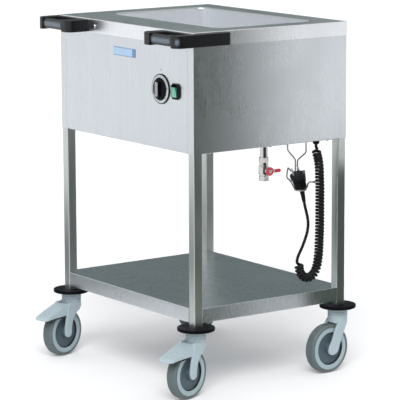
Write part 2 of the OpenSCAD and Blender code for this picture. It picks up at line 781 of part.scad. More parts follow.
module dial_ring() color("gainsboro") at_face(dial_x, dial_z) difference() {
    cylinder(h = dial_t, d = dial_d);
    translate([0, 0, -cut]) cylinder(h = dial_t + 2 * cut, d = collar_d + 1);
}

module knob() color(dark) at_face(dial_x, dial_z) translate([0, 0, dial_t + knob_gap]) difference() {
    union() {
        cylinder(h = knob_foot_h, d = knob_d);
        intersection() {
            translate([-knob_bar_w / 2, -knob_bar_l / 2, 0]) cube([knob_bar_w, knob_bar_l, knob_foot_h + knob_bar_h]);
            cylinder(h = knob_foot_h + knob_bar_h, d = knob_bar_l);
        }
    }
    translate([0, 0, -cut]) cylinder(h = cut + knob_foot_h + 6, d = spindle_d + 2 * fit);
}

module thermostat_spindle() color(steel) at_face(dial_x, dial_z)
    translate([0, 0, -spindle_in]) cylinder(h = spindle_in + spindle_tip, d = spindle_d);

module thermostat_body() color("dimgray") at_face(dial_x, dial_z) difference() {
    union() {
        translate([0, 0, -sheet - thermostat_l / 2]) cube([thermostat_w, thermostat_w, thermostat_l], center = true);
        translate([0, 0, -sheet - cut]) cylinder(h = sheet + cut + dial_t, d = collar_d);
    }
    translate([0, 0, -spindle_in - seat_gap]) cylinder(h = spindle_in + dial_t + cut, d = spindle_d + 2 * fit);
}

// Plate outline with its corners cut off straight
module cut_rect(w, l, c) polygon([[w / 2, l / 2 - c], [w / 2 - c, l / 2], [c - w / 2, l / 2],
    [-w / 2, l / 2 - c], [-w / 2, c - l / 2], [c - w / 2, -l / 2], [w / 2 - c, -l / 2],
    [w / 2, c - l / 2]]);

module switch_housing() color(dark) at_face(switch_x, dial_z) difference() {
    union() {
        linear_extrude(bezel_t) cut_rect(bezel_w, bezel_h, bezel_cut);
        translate([0, 0, -switch_l / 2])
            cube([switch_in_w + 2 * switch_wall, switch_in_h + 2 * switch_wall, switch_l], center = true);
    }
    translate([-switch_in_w / 2, -switch_in_h / 2, 8 - switch_l])
        cube([switch_in_w, switch_in_h, switch_l + bezel_t]);
    x_cylinder(trunnion_r + fit, switch_in_w + switch_wall);
}

// Rocker with its trunnions; it tips about the X axis through the panel's face
module switch_rocker() color([0.35, 0.8, 0.62]) at_face(switch_x, dial_z) rotate([rocker_tilt, 0, 0]) {
    rotate([0, 90, 0]) linear_extrude(rocker_w, center = true)
        polygon([[8, -9], [-rocker_out, -rocker_h / 2], [2 - rocker_out, 0],
            [-rocker_out, rocker_h / 2], [8, 9]]);
    x_cylinder(trunnion_r, switch_in_w + switch_wall - seat_gap);
}

module badge_plate() color([0.86, 0.9, 0.94]) at_face(0, badge_z) linear_extrude(badge_t)
    round_rect(badge_w, badge_h, 1.5);

// ---- Inside ---------------------------------------------------------------------

// Heating tube under the well's floor, bent to and fro
module heater_element() color("dimgray") at_cabinet() translate([heater_x, well_shift, heater_z]) {
    for (row = [0:heater_rows - 1]) translate([0, (row - (heater_rows - 1) / 2) * heater_pitch, 0])
        x_cylinder(heater_d / 2, heater_run);
    for (row = [0:heater_rows - 2]) translate([(row % 2 == 0 ? 1 : -1) * heater_run / 2,
        (row - (heater_rows - 2) / 2) * heater_pitch, 0]) rotate([0, 0, row % 2 == 0 ? -90 : 90])
        rotate_extrude(angle = 180) translate([heater_pitch / 2, 0]) circle(d = heater_d);
}

module insulation() color("khaki") at_cabinet() difference() {
    translate([0, well_shift, 0]) block(blanket_w + 2 * insulation_t, blanket_l + 2 * insulation_t,
        well_r + insulation_t, blanket_floor - insulation_t, blanket_top);
    translate([0, well_shift, 0]) block(blanket_w, blanket_l, well_r + sheet, blanket_floor, blanket_top + cut);
    translate([drain_x, drain_y, blanket_floor])
        cylinder(h = 3 * insulation_t, d = drain_d + 2 * seat_gap, center = true);
}

module terminal_block() color("ivory") at_cabinet() translate([terminal_x, terminal_y, floor_top])
    difference() {
        box([-35, -14, 0], [35, 14, 24]);
        for (x = [-24:12:24]) translate([x, 0, 12]) cylinder(h = 20, d = 6);
    }

// ---- Drain ----------------------------------------------------------------------

module at_drain(z) at_cabinet() translate([drain_x, drain_y, z]) children();

module drain_pipe() color(steel) difference() {
    at_drain(outlet_z + valve_h) cylinder(h = well_under - outlet_z - valve_h, d = drain_d);
    at_drain(outlet_z + valve_h - cut)
        cylinder(h = well_under - outlet_z - valve_h + 2 * cut, d = drain_d - 2 * drain_wall);
}

module valve_body() color(steel) difference() {
    union() {
        at_drain(outlet_z) cylinder(h = valve_h, d = valve_d - 3);
        at_drain(outlet_z) cylinder(h = valve_hex_h, d = valve_d, $fn = 6);
        at_drain(outlet_z + valve_h - valve_hex_h) cylinder(h = valve_hex_h, d = valve_d, $fn = 6);
        at_drain(valve_mid - ball_d / 2) cylinder(h = ball_d, d = valve_d);
        at_drain(valve_mid) rotate([0, 90, 0]) cylinder(h = valve_d / 2 + boss_l, d = 2 * valve_stem_d);
    }
    at_drain(outlet_z - cut) cylinder(h = valve_h + 2 * cut, d = valve_bore);
    at_drain(valve_mid) sphere(d = ball_d + 2 * ball_gap);
    at_drain(valve_mid) rotate([0, 90, 0]) cylinder(h = 2 * valve_d, d = valve_stem_d + 2 * fit);
}

// Ball whose bore lies across the pipe while the valve is shut
module valve_ball() color("gainsboro") at_drain(valve_mid) difference() {
    union() {
        sphere(d = ball_d);
        rotate([0, 90, 0]) cylinder(h = lever_x + lever_t + 2, d = valve_stem_d);
    }
    y_cylinder(valve_bore / 2 - 1, ball_d + 2 * cut);
}

module valve_lever() color("crimson") at_drain(valve_mid) translate([lever_x, 0, 0]) difference() {
    union() {
        x_cylinder(lever_hub_d / 2, lever_t + 2);
        translate([-lever_t / 2, 0, -lever_w / 2]) cube([lever_t, lever_l - lever_w / 2, lever_w]);
        translate([0, lever_l - lever_w / 2, 0]) x_cylinder(lever_w / 2, lever_t);
    }
    x_cylinder(valve_stem_d / 2 + fit, 4 * lever_t);
}

// ---- Mains lead and its holder --------------------------------------------------

function unit(v) = v / norm(v);

// Direction of a line of points at its point i
function heading(p, i) = unit((i > 0 ? unit(p[i] - p[i - 1]) : [0, 0, 0])
    + (i < len(p) - 1 ? unit(p[i + 1] - p[i]) : [0, 0, 0]));

// Line of points with its corners rounded
function rounded(p, r) = [p[0], for (i = [1:len(p) - 2], t = [0:0.25:1])
    let (a = p[i] - min(r, norm(p[i] - p[i - 1]) / 2.1) * unit(p[i] - p[i - 1]),
        b = p[i] + min(r, norm(p[i + 1] - p[i]) / 2.1) * unit(p[i + 1] - p[i]))
    (1 - t) * (1 - t) * a + 2 * t * (1 - t) * p[i] + t * t * b, p[len(p) - 1]];

function in_plane(points) = [for (p = points) [0, p[0], p[1]]];

// Round tube along points that never run along X, closed at both ends
module tube(p, d, sides) {
    rings = len(p);
    corners = [for (i = [0:rings - 1], k = [0:sides - 1])
        let (up = unit(cross(heading(p, i), [1, 0, 0])), across = cross(up, heading(p, i)))
        p[i] + d / 2 * (cos(360 * k / sides) * across + sin(360 * k / sides) * up)];
    walls = [for (i = [0:rings - 2], k = [0:sides - 1]) let (n = (k + 1) % sides)
        [i * sides + k, (i + 1) * sides + k, (i + 1) * sides + n, i * sides + n]];
    first = [for (k = [0:sides - 1]) k];
    last = [for (k = [sides - 1:-1:0]) (rings - 1) * sides + k];
    polyhedron(corners, concat([first], walls, [last]), convexity = 6);
}

module cable_gland() color(dark) at_gland() {
    translate([0, 0, -4]) cylinder(h = 4, d = gland_d + 3, $fn = 6);
    translate([0, 0, -11]) cylinder(h = 8, d = gland_d);
    translate([0, 0, -gland_drop]) cylinder(h = gland_drop - 11, d1 = cable_d + 1, d2 = gland_d - 3);
    translate([0, 0, -cut]) cylinder(h = 3 * sheet + 9, d = gland_thread_d);
    translate([0, 0, 2 * sheet]) cylinder(h = 5, d = gland_d + 3, $fn = 6);
}

module cord_coil() color(dark) at_gland() tube(in_plane(coil_points), coil_d, 12);
module cord_tail() color(dark) at_gland() tube(in_plane(tail_points), cable_d, 8);

// Plug's frame: origin where the strain relief meets it, +Z towards the pins
module at_plug() at_gland() translate([0, plug_start[0], plug_start[1]]) rotate([plug_tilt, 0, 0])
    children();

module plug_body() color(dark) {
    relief = plug_start - relief_start;
    at_gland() translate([0, relief_start[0], relief_start[1]])
        rotate([atan2(-relief[0], relief[1]), 0, 0])
        cylinder(h = norm(relief) + 2, d1 = cable_d + 2, d2 = relief_d);
    at_plug() translate([0, 0, plug_mid]) sphere(d = plug_end_d);
    at_plug() translate([0, 0, plug_mid])
        cylinder(h = plug_l - plug_face_l - plug_mid, d1 = plug_end_d, d2 = plug_d - 2);
    at_plug() translate([0, 0, plug_l - plug_face_l]) cylinder(h = plug_face_l, d = plug_d);
}

module plug_pins() color(steel) at_plug() for (side = [-1, 1])
    translate([0, side * pin_pitch / 2, plug_l]) cylinder(h = pin_l, d = pin_d);

module plug_holder() color(steel) at_gland() {
    for (path = [left_wire, right_wire, arm_wire]) tube(rounded(path, wire_bend), wire_d, 8);
    translate([0, plug_ball[0], ring_z]) rotate_extrude() translate([ring_r, 0]) circle(d = wire_d);
    for (y = foot_y) translate([wire_x, y, 2 * sheet]) cylinder(h = 3, d = 2 * wire_d);
}

// Black cap on the arm's end
module holder_tip() color(dark) at_gland() tube([arm_wire[len(arm_wire) - 1], tip_end], wire_d + 1, 8);

top_frame();
well();
front_panel();
side_panel_left();
side_panel_right();
rear_panel();
bottom_panel();
base_screws();
leg_front_left();
leg_front_right();
leg_rear_left();
leg_rear_right();
lower_shelf();
leg_plugs();
bumper_discs();
castor_stems();
swivel_races();
housing_front_left();
housing_front_right();
housing_rear_left();
housing_rear_right();
rim_front_left();
rim_front_right();
rim_rear_left();
rim_rear_right();
tyre_front_left();
tyre_front_right();
tyre_rear_left();
tyre_rear_right();
axle_front_left();
axle_front_right();
axle_rear_left();
axle_rear_right();
pedal_front_left();
pedal_front_right();
handle_left();
handle_right();
handle_screws();
dial_ring();
knob();
thermostat_spindle();
thermostat_body();
switch_housing();
switch_rocker();
badge_plate();
heater_element();
insulation();
terminal_block();
drain_pipe();
valve_body();
valve_ball();
valve_lever();
cable_gland();
cord_coil();
cord_tail();
plug_body();
plug_pins();
plug_holder();
holder_tip();
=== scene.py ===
# %% [markdown]
# # A heated food trolley
#
# A stainless steel cabinet with one deep well stands on four square legs, with an open
# shelf and four swivel castors below. This lesson dresses its solid model: every piece
# is made where the solid one lies, and gets a finish built from nodes. All lengths are
# metres, +X is the operator's right, and the side with the knob faces -Y.

# %% Load the solid model
import math

import bmesh
import bpy
from mathutils import Matrix, Vector


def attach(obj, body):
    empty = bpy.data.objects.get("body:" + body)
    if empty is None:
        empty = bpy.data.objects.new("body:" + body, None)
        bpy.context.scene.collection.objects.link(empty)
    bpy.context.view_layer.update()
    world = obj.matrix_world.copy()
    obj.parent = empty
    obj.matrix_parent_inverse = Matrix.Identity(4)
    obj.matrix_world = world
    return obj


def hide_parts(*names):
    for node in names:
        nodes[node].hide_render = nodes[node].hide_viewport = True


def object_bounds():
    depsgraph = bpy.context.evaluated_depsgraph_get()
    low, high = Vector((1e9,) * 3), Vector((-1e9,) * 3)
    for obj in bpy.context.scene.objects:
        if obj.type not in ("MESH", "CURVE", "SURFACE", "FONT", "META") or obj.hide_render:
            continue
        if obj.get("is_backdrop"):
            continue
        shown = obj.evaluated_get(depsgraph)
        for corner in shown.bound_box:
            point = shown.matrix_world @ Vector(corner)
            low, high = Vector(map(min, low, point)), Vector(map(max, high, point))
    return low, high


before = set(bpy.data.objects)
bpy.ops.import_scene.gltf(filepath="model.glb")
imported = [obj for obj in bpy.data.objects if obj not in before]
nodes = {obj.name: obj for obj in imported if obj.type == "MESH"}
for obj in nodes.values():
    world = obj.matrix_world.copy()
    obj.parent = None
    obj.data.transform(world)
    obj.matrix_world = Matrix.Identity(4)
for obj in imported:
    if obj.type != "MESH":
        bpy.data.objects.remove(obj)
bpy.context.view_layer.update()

# %% [markdown]
# ## Camera
# The picture was taken from far away with a long lens, from the front right and a
# little above. A camera can be aimed by hand with a Track To constraint, but the fitted
# place, heading and tilt are known, so its three axes are written straight into its
# matrix: right, up, and backwards.

# %% Place the camera
CAMERA_PLACE = Vector((4.97998, -3.52556, 1.49724))
YAW, PITCH, ROLL = math.radians(54.490), math.radians(9.923), math.radians(-0.234)
FOCAL_PIXELS, PICTURE_PIXELS, SENSOR = 2397.69, 400, 36.0


def camera_axes():
    """Right, up and forward directions of the fitted camera."""
    forward = Vector((-math.sin(YAW) * math.cos(PITCH), math.cos(YAW) * math.cos(PITCH), -math.sin(PITCH)))
    level = Vector((math.cos(YAW), math.sin(YAW), 0))
    above = level.cross(forward)
    right = level * math.cos(ROLL) + above * math.sin(ROLL)
    up = above * math.cos(ROLL) - level * math.sin(ROLL)
    return right, up, forward


camera_data = bpy.data.cameras.new("camera")
camera_data.sensor_width = SENSOR
camera_data.lens = SENSOR * FOCAL_PIXELS / PICTURE_PIXELS
camera_data.clip_end = 50
camera = bpy.data.objects.new("camera", camera_data)
bpy.context.scene.collection.objects.link(camera)
right, up, forward = camera_axes()
camera.matrix_world = Matrix.Translation(CAMERA_PLACE) @ Matrix((right, up, -forward)).transposed().to_4x4()
bpy.context.scene.camera = camera
print("lens", round(camera_data.lens, 1), "mm")

# %% [markdown]
# ## Measures
# These repeat the solid model's sizes, so that each new piece lies where its solid one
# does. The cabinet's middle is a little behind the origin, because the handles stand
# out in front.

# %% Measures shared by the pieces
CABINET_Y = 0.034
SKIRT_X, SKIRT_Y, SKIRT_H = 0.300, 0.238, 0.035
TOP_Z, BASE_Z, SHEET = 0.900, 0.603, 0.0012
PANEL_X, PANEL_Y = SKIRT_X - SHEET, SKIRT_Y - SHEET
LEG_X, LEG_Y, LEG_NOTCH = 0.2851, 0.2231, 0.0256
FRONT_Y = CABINET_Y - PANEL_Y
CORNERS = {"front_left": (-1, -1, 16), "front_right": (1, -1, 16), "rear_left": (-1, 1, 5),
           "rear_right": (1, 1, 5)}
LEAD_X, GLAND_Y = 0.268, CABINET_Y + 0.164
print("front face at y =", round(FRONT_Y, 4))

# %% [markdown]
# ## Helpers for meshes
# Nearly every piece goes through the same last steps: loose doubles are merged, faces
# are turned outwards, sharp edges are kept sharp and the others shaded smooth. A
# Weighted Normal modifier then keeps the big flat faces flat beside small bevels.
# Doing this in one function means that no piece forgets a step.


# %% Finish a mesh as a named piece
def add_piece(name, mesh, finish, body, stands_for):
    """Show a mesh or curve as a piece that rides on a body."""
    mesh.materials.append(finish)
    piece = bpy.data.objects.new(name, mesh)
    bpy.context.scene.collection.objects.link(piece)
    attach(piece, body)
    if stands_for:
        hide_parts(*stands_for)
    return piece


def settle(bm, sharp_angle, outwards):
    """Merge doubles, face outwards and mark the sharp edges."""
    bmesh.ops.remove_doubles(bm, verts=bm.verts, dist=1e-6)
    if outwards:
        bmesh.ops.recalc_face_normals(bm, faces=bm.faces)
    for face in bm.faces:
        face.smooth = True
    for edge in bm.edges:
        edge.smooth = len(edge.link_faces) == 2 and edge.calc_face_angle(0) < math.radians(sharp_angle)


def finish_piece(bm, name, finish, body="root", stands_for=(), sharp_angle=35, thickness=0):
    """Turn a bmesh into a piece; a thickness makes an open sheet solid, inwards."""
    settle(bm, sharp_angle, outwards=thickness == 0)
    mesh = bpy.data.meshes.new(name)
    bm.to_mesh(mesh)
    bm.free()
    piece = add_piece(name, mesh, finish, body, stands_for)
    if thickness:
        wall = piece.modifiers.new("wall", "SOLIDIFY")
        wall.thickness, wall.offset, wall.use_even_offset = thickness, -1, True
    weighted = piece.modifiers.new("flat faces stay flat", "WEIGHTED_NORMAL")
    weighted.keep_sharp = True
    print(name, len(mesh.polygons), "faces")
    return piece


# %% [markdown]
# ## Shapes that the pieces are cut from
# Most pieces of a trolley start as one of a few shapes: a plan pulled up into a prism, an
# outline spun round an axis, or a flat sheet whose borders are folded. Each could be drawn
# vertex by vertex, but the bmesh operators keep the faces closed and their sides right.

# %% Bevels, rounded outlines and prisms
def round_edges(bm, radius, segments, least_angle=40, where=None):
    """Bevel every edge sharper than least_angle, or those that where() picks."""
    edges = [e for e in bm.edges if len(e.link_faces) == 2
             and e.calc_face_angle(0) > math.radians(least_angle) and (where is None or where(e))]
    bmesh.ops.bevel(bm, geom=edges, offset=radius, offset_type="OFFSET", segments=segments,
                    profile=0.5, affect="EDGES", material=-1, clamp_overlap=True)


def middle(edge):
    """Middle of an edge."""
    return (edge.verts[0].co + edge.verts[1].co) / 2


def new_verts(made):
    """The vertices among an operator's results."""
    return [g for g in made["geom"] if isinstance(g, bmesh.types.BMVert)]


def outline_face(bm, points, radii, segments, z):
    """Flat face with its corners rounded by a vertex bevel."""
    verts = [bm.verts.new((x, y, z)) for x, y in points]
    face = bm.faces.new(verts)
    for radius in sorted({r for r in radii if r}):
        corners = [v for v, r in zip(verts, radii) if r == radius]
        bmesh.ops.bevel(bm, geom=corners, offset=radius, offset_type="OFFSET", segments=segments,
                        profile=0.5, affect="VERTICES", material=-1)
    return [f for f in bm.faces if abs(f.calc_center_median().z - z) < 1e-5]


def prism(points, low, high, radii=(), segments=6):
    """Solid with the given outline in XY, from z = low up to z = high."""
    bm = bmesh.new()
    faces = outline_face(bm, points, radii, segments, low)
    made = bmesh.ops.extrude_face_region(bm, geom=faces)
    bmesh.ops.translate(bm, verts=new_verts(made), vec=(0, 0, high - low))
    bmesh.ops.recalc_face_normals(bm, faces=bm.faces)
    return bm


def rectangle(width, length, centre=(0, 0)):
    """Corners of a rectangle, anticlockwise."""
    x, y = centre
    return [(x - width / 2, y - length / 2), (x + width / 2, y - length / 2),
            (x + width / 2, y + length / 2), (x - width / 2, y + length / 2)]


print("a rectangle's corners:", rectangle(2, 1))


# %% Turned shapes, and joining one mesh to another
def turned(outline, steps, closed=False):
    """Spin an outline of (radius, height) points round the Z axis."""
    bm = bmesh.new()
    verts = [bm.verts.new((r, 0, h)) for r, h in outline]
    edges = [bm.edges.new(pair) for pair in zip(verts, verts[1:])]
    if closed:
        edges.append(bm.edges.new((verts[-1], verts[0])))
    bmesh.ops.spin(bm, geom=verts + edges, cent=(0, 0, 0), axis=(0, 0, 1), angle=2 * math.pi,
                   steps=steps, use_merge=True)
    bmesh.ops.remove_doubles(bm, verts=bm.verts, dist=1e-6)
    bmesh.ops.recalc_face_normals(bm, faces=bm.faces)
    return bm


def moved(bm, matrix):
    """Move a whole bmesh."""
    bmesh.ops.transform(bm, matrix=matrix, verts=bm.verts)
    return bm


def combined(first, second, how="UNION"):
    """Join, cut or intersect two closed bmeshes with a Boolean modifier."""
    objects = []
    for bm in (first, second):
        mesh = bpy.data.meshes.new("boolean")
        bm.to_mesh(mesh)
        bm.free()
        objects.append(bpy.data.objects.new("boolean", mesh))
        bpy.context.scene.collection.objects.link(objects[-1])
    boolean = objects[0].modifiers.new("boolean", "BOOLEAN")
    boolean.object, boolean.operation, boolean.solver = objects[1], how, "EXACT"
    result = bmesh.new()
    result.from_object(objects[0], bpy.context.evaluated_depsgraph_get())
    for item in objects:
        bpy.data.objects.remove(item)
    bmesh.ops.dissolve_limit(result, angle_limit=math.radians(0.5), verts=result.verts, edges=result.edges)
    return result


def with_bmesh(target, extra):
    """Add one bmesh's faces to another."""
    mesh = bpy.data.meshes.new("part")
    extra.to_mesh(mesh)
    extra.free()
    target.from_mesh(mesh)
    return target


# %% Folded sheet, mirror images and ways to lay a shape
def fold(bm, pick, by):
    """Fold a new flange out of the border edges that pick() chooses, moved by a vector."""
    edges = [e for e in bm.edges if len(e.link_faces) == 1 and pick(e)]
    made = bmesh.ops.extrude_edge_only(bm, edges=edges)
    bmesh.ops.translate(bm, verts=new_verts(made), vec=by)


def turn_faces(bm, towards):
    """Flip an open sheet so that its largest face looks the given way."""
    bmesh.ops.recalc_face_normals(bm, faces=bm.faces)
    largest = max(bm.faces, key=lambda f: f.calc_area())
    if largest.normal.dot(Vector(towards)) < 0:
        bmesh.ops.reverse_faces(bm, faces=bm.faces)


def mirrored(side):
    """Matrix that keeps a right-hand shape (1) or turns it into a left-hand one (-1)."""
    return Matrix.Scale(side, 4, (1, 0, 0))


# A shape made upright is laid along the axle, out of the front face, or across the trolley
AXLE_WAYS = Matrix.Rotation(math.radians(90), 4, "Y")
FACE_WAYS = Matrix.Rotation(math.radians(90), 4, "X")
ACROSS_WAYS = Matrix(((0, 0, 1, 0), (1, 0, 0, 0), (0, 1, 0, 0), (0, 0, 0, 1)))
print("up becomes", (AXLE_WAYS @ Vector((0, 0, 1)))[:], "along the axle")

# %% [markdown]
# ## Effects shared by the finishes
# Brushing, smudges, moulded grain, rubbed edges and settled dust each show on more than
# one finish. Each is a node group with named inputs and outputs, built once. A finish
# places it with its own values, so the trolley looks as if one shop made and used it.


# %% Helpers for nodes
def add_node(tree, kind, inputs=None, **settings):
    """New node; an input that is given a socket is linked, any other value is set."""
    made = tree.nodes.new(kind)
    for key, value in settings.items():
        setattr(made, key, value)
    for key, value in (inputs or {}).items():
        if isinstance(value, bpy.types.NodeSocket):
            tree.links.new(value, made.inputs[key])
        else:
            made.inputs[key].default_value = value
    return made


def new_group(name, inputs, outputs):
    """Empty node group with its sockets; inputs are (name, kind, default)."""
    group = bpy.data.node_groups.new(name, "ShaderNodeTree")
    for label, kind, default in inputs:
        socket = group.interface.new_socket(name=label, in_out="INPUT", socket_type=kind)
        if default is not None:
            socket.default_value = default
    for label in outputs:
        group.interface.new_socket(name=label, in_out="OUTPUT", socket_type="NodeSocketFloat")
    return group, group.nodes.new("NodeGroupInput").outputs, group.nodes.new("NodeGroupOutput").inputs


def coordinate(tree, kind, axis):
    """One axis of a texture coordinate; of the normal it says which way a surface looks."""
    coordinates = add_node(tree, "ShaderNodeTexCoord").outputs[kind]
    return add_node(tree, "ShaderNodeSeparateXYZ", {0: coordinates}).outputs[axis]


# %% Noise, sums, ranges and blends
def noise(tree, vector, scale, detail=2.0, roughness=0.5):
    """Noise value between 0 and 1."""
    values = {"Vector": vector, "Scale": scale, "Detail": detail, "Roughness": roughness}
    return add_node(tree, "ShaderNodeTexNoise", values).outputs["Fac"]


def times(tree, vector, factors):
    """Vector multiplied by factors."""
    made = add_node(tree, "ShaderNodeVectorMath", {0: vector, 1: factors}, operation="MULTIPLY")
    return made.outputs["Vector"]


def maths(tree, operation, first, second=0.0, clamp=False):
    """One Math node."""
    made = add_node(tree, "ShaderNodeMath", {0: first, 1: second}, operation=operation, use_clamp=clamp)
    return made.outputs[0]


def ranged(tree, value, low, high, new_low=0.0, new_high=1.0):
    """Value stretched from one range to another, with soft ends."""
    values = {"Value": value, "From Min": low, "From Max": high, "To Min": new_low, "To Max": new_high}
    return add_node(tree, "ShaderNodeMapRange", values, interpolation_type="SMOOTHSTEP").outputs["Result"]


def blend_colours(tree, factor, first, second):
    """Colour between two colours."""
    mix = add_node(tree, "ShaderNodeMix", {"Factor": factor}, data_type="RGBA")
    for index, colour in ((6, first), (7, second)):
        if isinstance(colour, bpy.types.NodeSocket):
            tree.links.new(colour, mix.inputs[index])
        else:
            mix.inputs[index].default_value = (*colour, 1)
    return mix.outputs[2]


# %% [markdown]
# ## Brushed lines
# Satin steel is rubbed with a belt, which leaves fine lines along one direction. The
# sheets are brushed before they are folded, so walls show them upright. Noise stretched
# a hundred times along one axis looks like them and, unlike a picture, never repeats.
# A second, broader noise gives the faint bands in which the belt ran.

# %% Brushed lines: upright on walls, across on level sheets
VECTOR, FLOAT = "NodeSocketVector", "NodeSocketFloat"
BRUSHED, given, result = new_group("brushed_lines", [("Vector", VECTOR, None), ("Spread", FLOAT, 1.0)],
                                   ["Lines", "Bands"])
LEVEL_FROM = 0.6
facing = maths(BRUSHED, "ABSOLUTE", coordinate(BRUSHED, "Normal", "Z"))
level = maths(BRUSHED, "GREATER_THAN", facing, LEVEL_FROM)
spread = add_node(BRUSHED, "ShaderNodeVectorMath", {0: given["Vector"], "Scale": given["Spread"]},
                  operation="SCALE").outputs["Vector"]


def chosen(upright, across):
    """Noise stretched upright on walls and across on level sheets."""
    values = [noise(BRUSHED, times(BRUSHED, spread, factors), 1.0, 3.0, 0.6) for factors in (upright, across)]
    mix = add_node(BRUSHED, "ShaderNodeMix", {"Factor": level, 2: values[0], 3: values[1]}, data_type="FLOAT")
    return mix.outputs[0]


FINE, LONG, BROAD, BAND = 900, 9, 70, 1.6
BRUSHED.links.new(chosen((FINE, FINE, LONG), (LONG, FINE, FINE)), result["Lines"])
BRUSHED.links.new(chosen((BROAD, BROAD, BAND), (BAND, BROAD, BROAD)), result["Bands"])
print(BRUSHED.name, "has", len(BRUSHED.nodes), "nodes")

# %% [markdown]
# ## Traces of use and of the mould
# Hands leave dull patches on steel, a mould leaves a fine grain, edges are rubbed pale
# and dust lies on whatever faces up. Each is a mask from noise, from the surface's own
# sharpness or from the way it faces, so that it lands where it would on the real thing.

# %% Smudges, grain, rubbed edges and dust
SMUDGES, given, result = new_group("smudges", [("Vector", VECTOR, None), ("Scale", FLOAT, 9.0)], ["Mask"])
cloudy = noise(SMUDGES, given["Vector"], given["Scale"], 5.0, 0.62)
SMUDGES.links.new(ranged(SMUDGES, cloudy, 0.38, 0.72), result["Mask"])

GRAIN, given, result = new_group("moulded_grain", [("Vector", VECTOR, None), ("Scale", FLOAT, 1400.0)],
                                 ["Height", "Shade"])
GRAIN.links.new(noise(GRAIN, given["Vector"], given["Scale"], 2.0, 0.7), result["Height"])
GRAIN.links.new(noise(GRAIN, given["Vector"], 26.0, 4.0, 0.6), result["Shade"])

RUBBED, given, result = new_group("rubbed_edges", [("Vector", VECTOR, None), ("Reach", FLOAT, 0.56)],
                                  ["Mask"])
sharp = add_node(RUBBED, "ShaderNodeNewGeometry").outputs["Pointiness"]
rub_wear_and_painted_highlight = ranged(RUBBED, sharp, 0.505, given["Reach"])
RUBBED.links.new(maths(RUBBED, "MULTIPLY", rub_wear_and_painted_highlight, noise(RUBBED, given["Vector"], 160.0, 3.0)),
                 result["Mask"])

DUST, given, result = new_group("settled_dust", [("Vector", VECTOR, None), ("Amount", FLOAT, 0.5)], ["Mask"])
facing_up = ranged(DUST, coordinate(DUST, "Normal", "Z"), 0.2, 1.0)
patchy = ranged(DUST, noise(DUST, given["Vector"], 60.0, 5.0), 0.35, 0.7)
lying = maths(DUST, "MULTIPLY", facing_up, patchy)
DUST.links.new(maths(DUST, "MULTIPLY", lying, given["Amount"]), result["Mask"])
print(len(bpy.data.node_groups), "shared effects")

# %% [markdown]
# ## Finishes
# Each finish is a Principled BSDF fed by the shared effects. Steel is fully metallic, so
# its colour is the tint of what it mirrors; brushing roughens it in lines and smudges
# dull it in patches. Plastics get a fine moulded grain, paler rubbed edges and a little
# dust. The fixed numbers, such as the specular level, go straight on the shader.


# %% Place effects in a finish
def shader_of(finish):
    """The finish's Principled BSDF."""
    return finish.node_tree.nodes["Principled BSDF"]


def new_finish(name, **fixed):
    """Material with one Principled BSDF and fixed values on its sockets."""
    finish = bpy.data.materials.new(name)
    finish.use_nodes = True
    for key, value in fixed.items():
        socket = shader_of(finish).inputs[key.replace("_", " ")]
        socket.default_value = (*value, 1) if isinstance(value, tuple) and len(value) == 3 else value
    tree = finish.node_tree
    return finish, tree, add_node(tree, "ShaderNodeTexCoord").outputs["Object"]


def use(tree, group, **inputs):
    """Place a shared effect with its own values."""
    made = add_node(tree, "ShaderNodeGroup", node_tree=group)
    for key, value in inputs.items():
        if isinstance(value, bpy.types.NodeSocket):
            tree.links.new(value, made.inputs[key])
        else:
            made.inputs[key].default_value = value
    return made.outputs


def feed(finish, tree, **sockets):
    """Link values to the shader's sockets."""
    for key, value in sockets.items():
        tree.links.new(value, shader_of(finish).inputs[key.replace("_", " ")])


def bumped(tree, height, strength, distance):
    """Normal bent by a height."""
    values = {"Height": height, "Strength": strength, "Distance": distance}
    return add_node(tree, "ShaderNodeBump", values).outputs["Normal"]


# %% Steel
def steel(name, colour, roughness, line_depth=0.10, spread=1.0, metallic=1.0):
    """Brushed stainless steel."""
    finish, tree, place = new_finish(name, Metallic=metallic)
    lines = use(tree, BRUSHED, Vector=place, Spread=spread)
    smudge = use(tree, SMUDGES, Vector=place, Scale=7.0)["Mask"]
    dark, light = tuple(c * 0.965 for c in colour), tuple(min(c * 1.03, 1) for c in colour)
    shade = maths(tree, "ADD", maths(tree, "MULTIPLY", lines["Lines"], 0.6),
                  maths(tree, "MULTIPLY", lines["Bands"], 0.4))
    dull = maths(tree, "ADD", maths(tree, "MULTIPLY", lines["Lines"], line_depth),
                 maths(tree, "MULTIPLY", smudge, 0.05))
    feed(finish, tree, Base_Color=blend_colours(tree, ranged(tree, shade, 0.3, 0.7), dark, light),
         Roughness=maths(tree, "ADD", dull, roughness - line_depth / 2),
         Normal=bumped(tree, lines["Lines"], 0.04, 0.0002))
    return finish


# %% Plastic and rubber
def plastic(name, colour, roughness, grain, edge, dust, dust_colour=(0.5, 0.5, 0.48), **fixed):
    """Moulded plastic or rubber."""
    finish, tree, place = new_finish(name, **fixed)
    moulded = use(tree, GRAIN, Vector=place)
    rub = use(tree, RUBBED, Vector=place)["Mask"]
    smudge = use(tree, SMUDGES, Vector=place, Scale=22.0)["Mask"]
    dark, light = tuple(c * 0.9 for c in colour), tuple(min(c * 1.08, 1) for c in colour)
    shade = blend_colours(tree, moulded["Shade"], dark, light)
    shade = blend_colours(tree, rub, shade, tuple(min(c + edge, 1) for c in colour))
    if dust:
        shade = blend_colours(tree, use(tree, DUST, Vector=place, Amount=dust)["Mask"], shade, dust_colour)
    uneven = maths(tree, "ADD", maths(tree, "MULTIPLY", smudge, 0.10),
                   maths(tree, "MULTIPLY", moulded["Height"], 0.08))
    feed(finish, tree, Base_Color=shade, Roughness=maths(tree, "ADD", uneven, roughness - 0.07, clamp=True),
         Normal=bumped(tree, moulded["Height"], grain, 0.0002))
    return finish


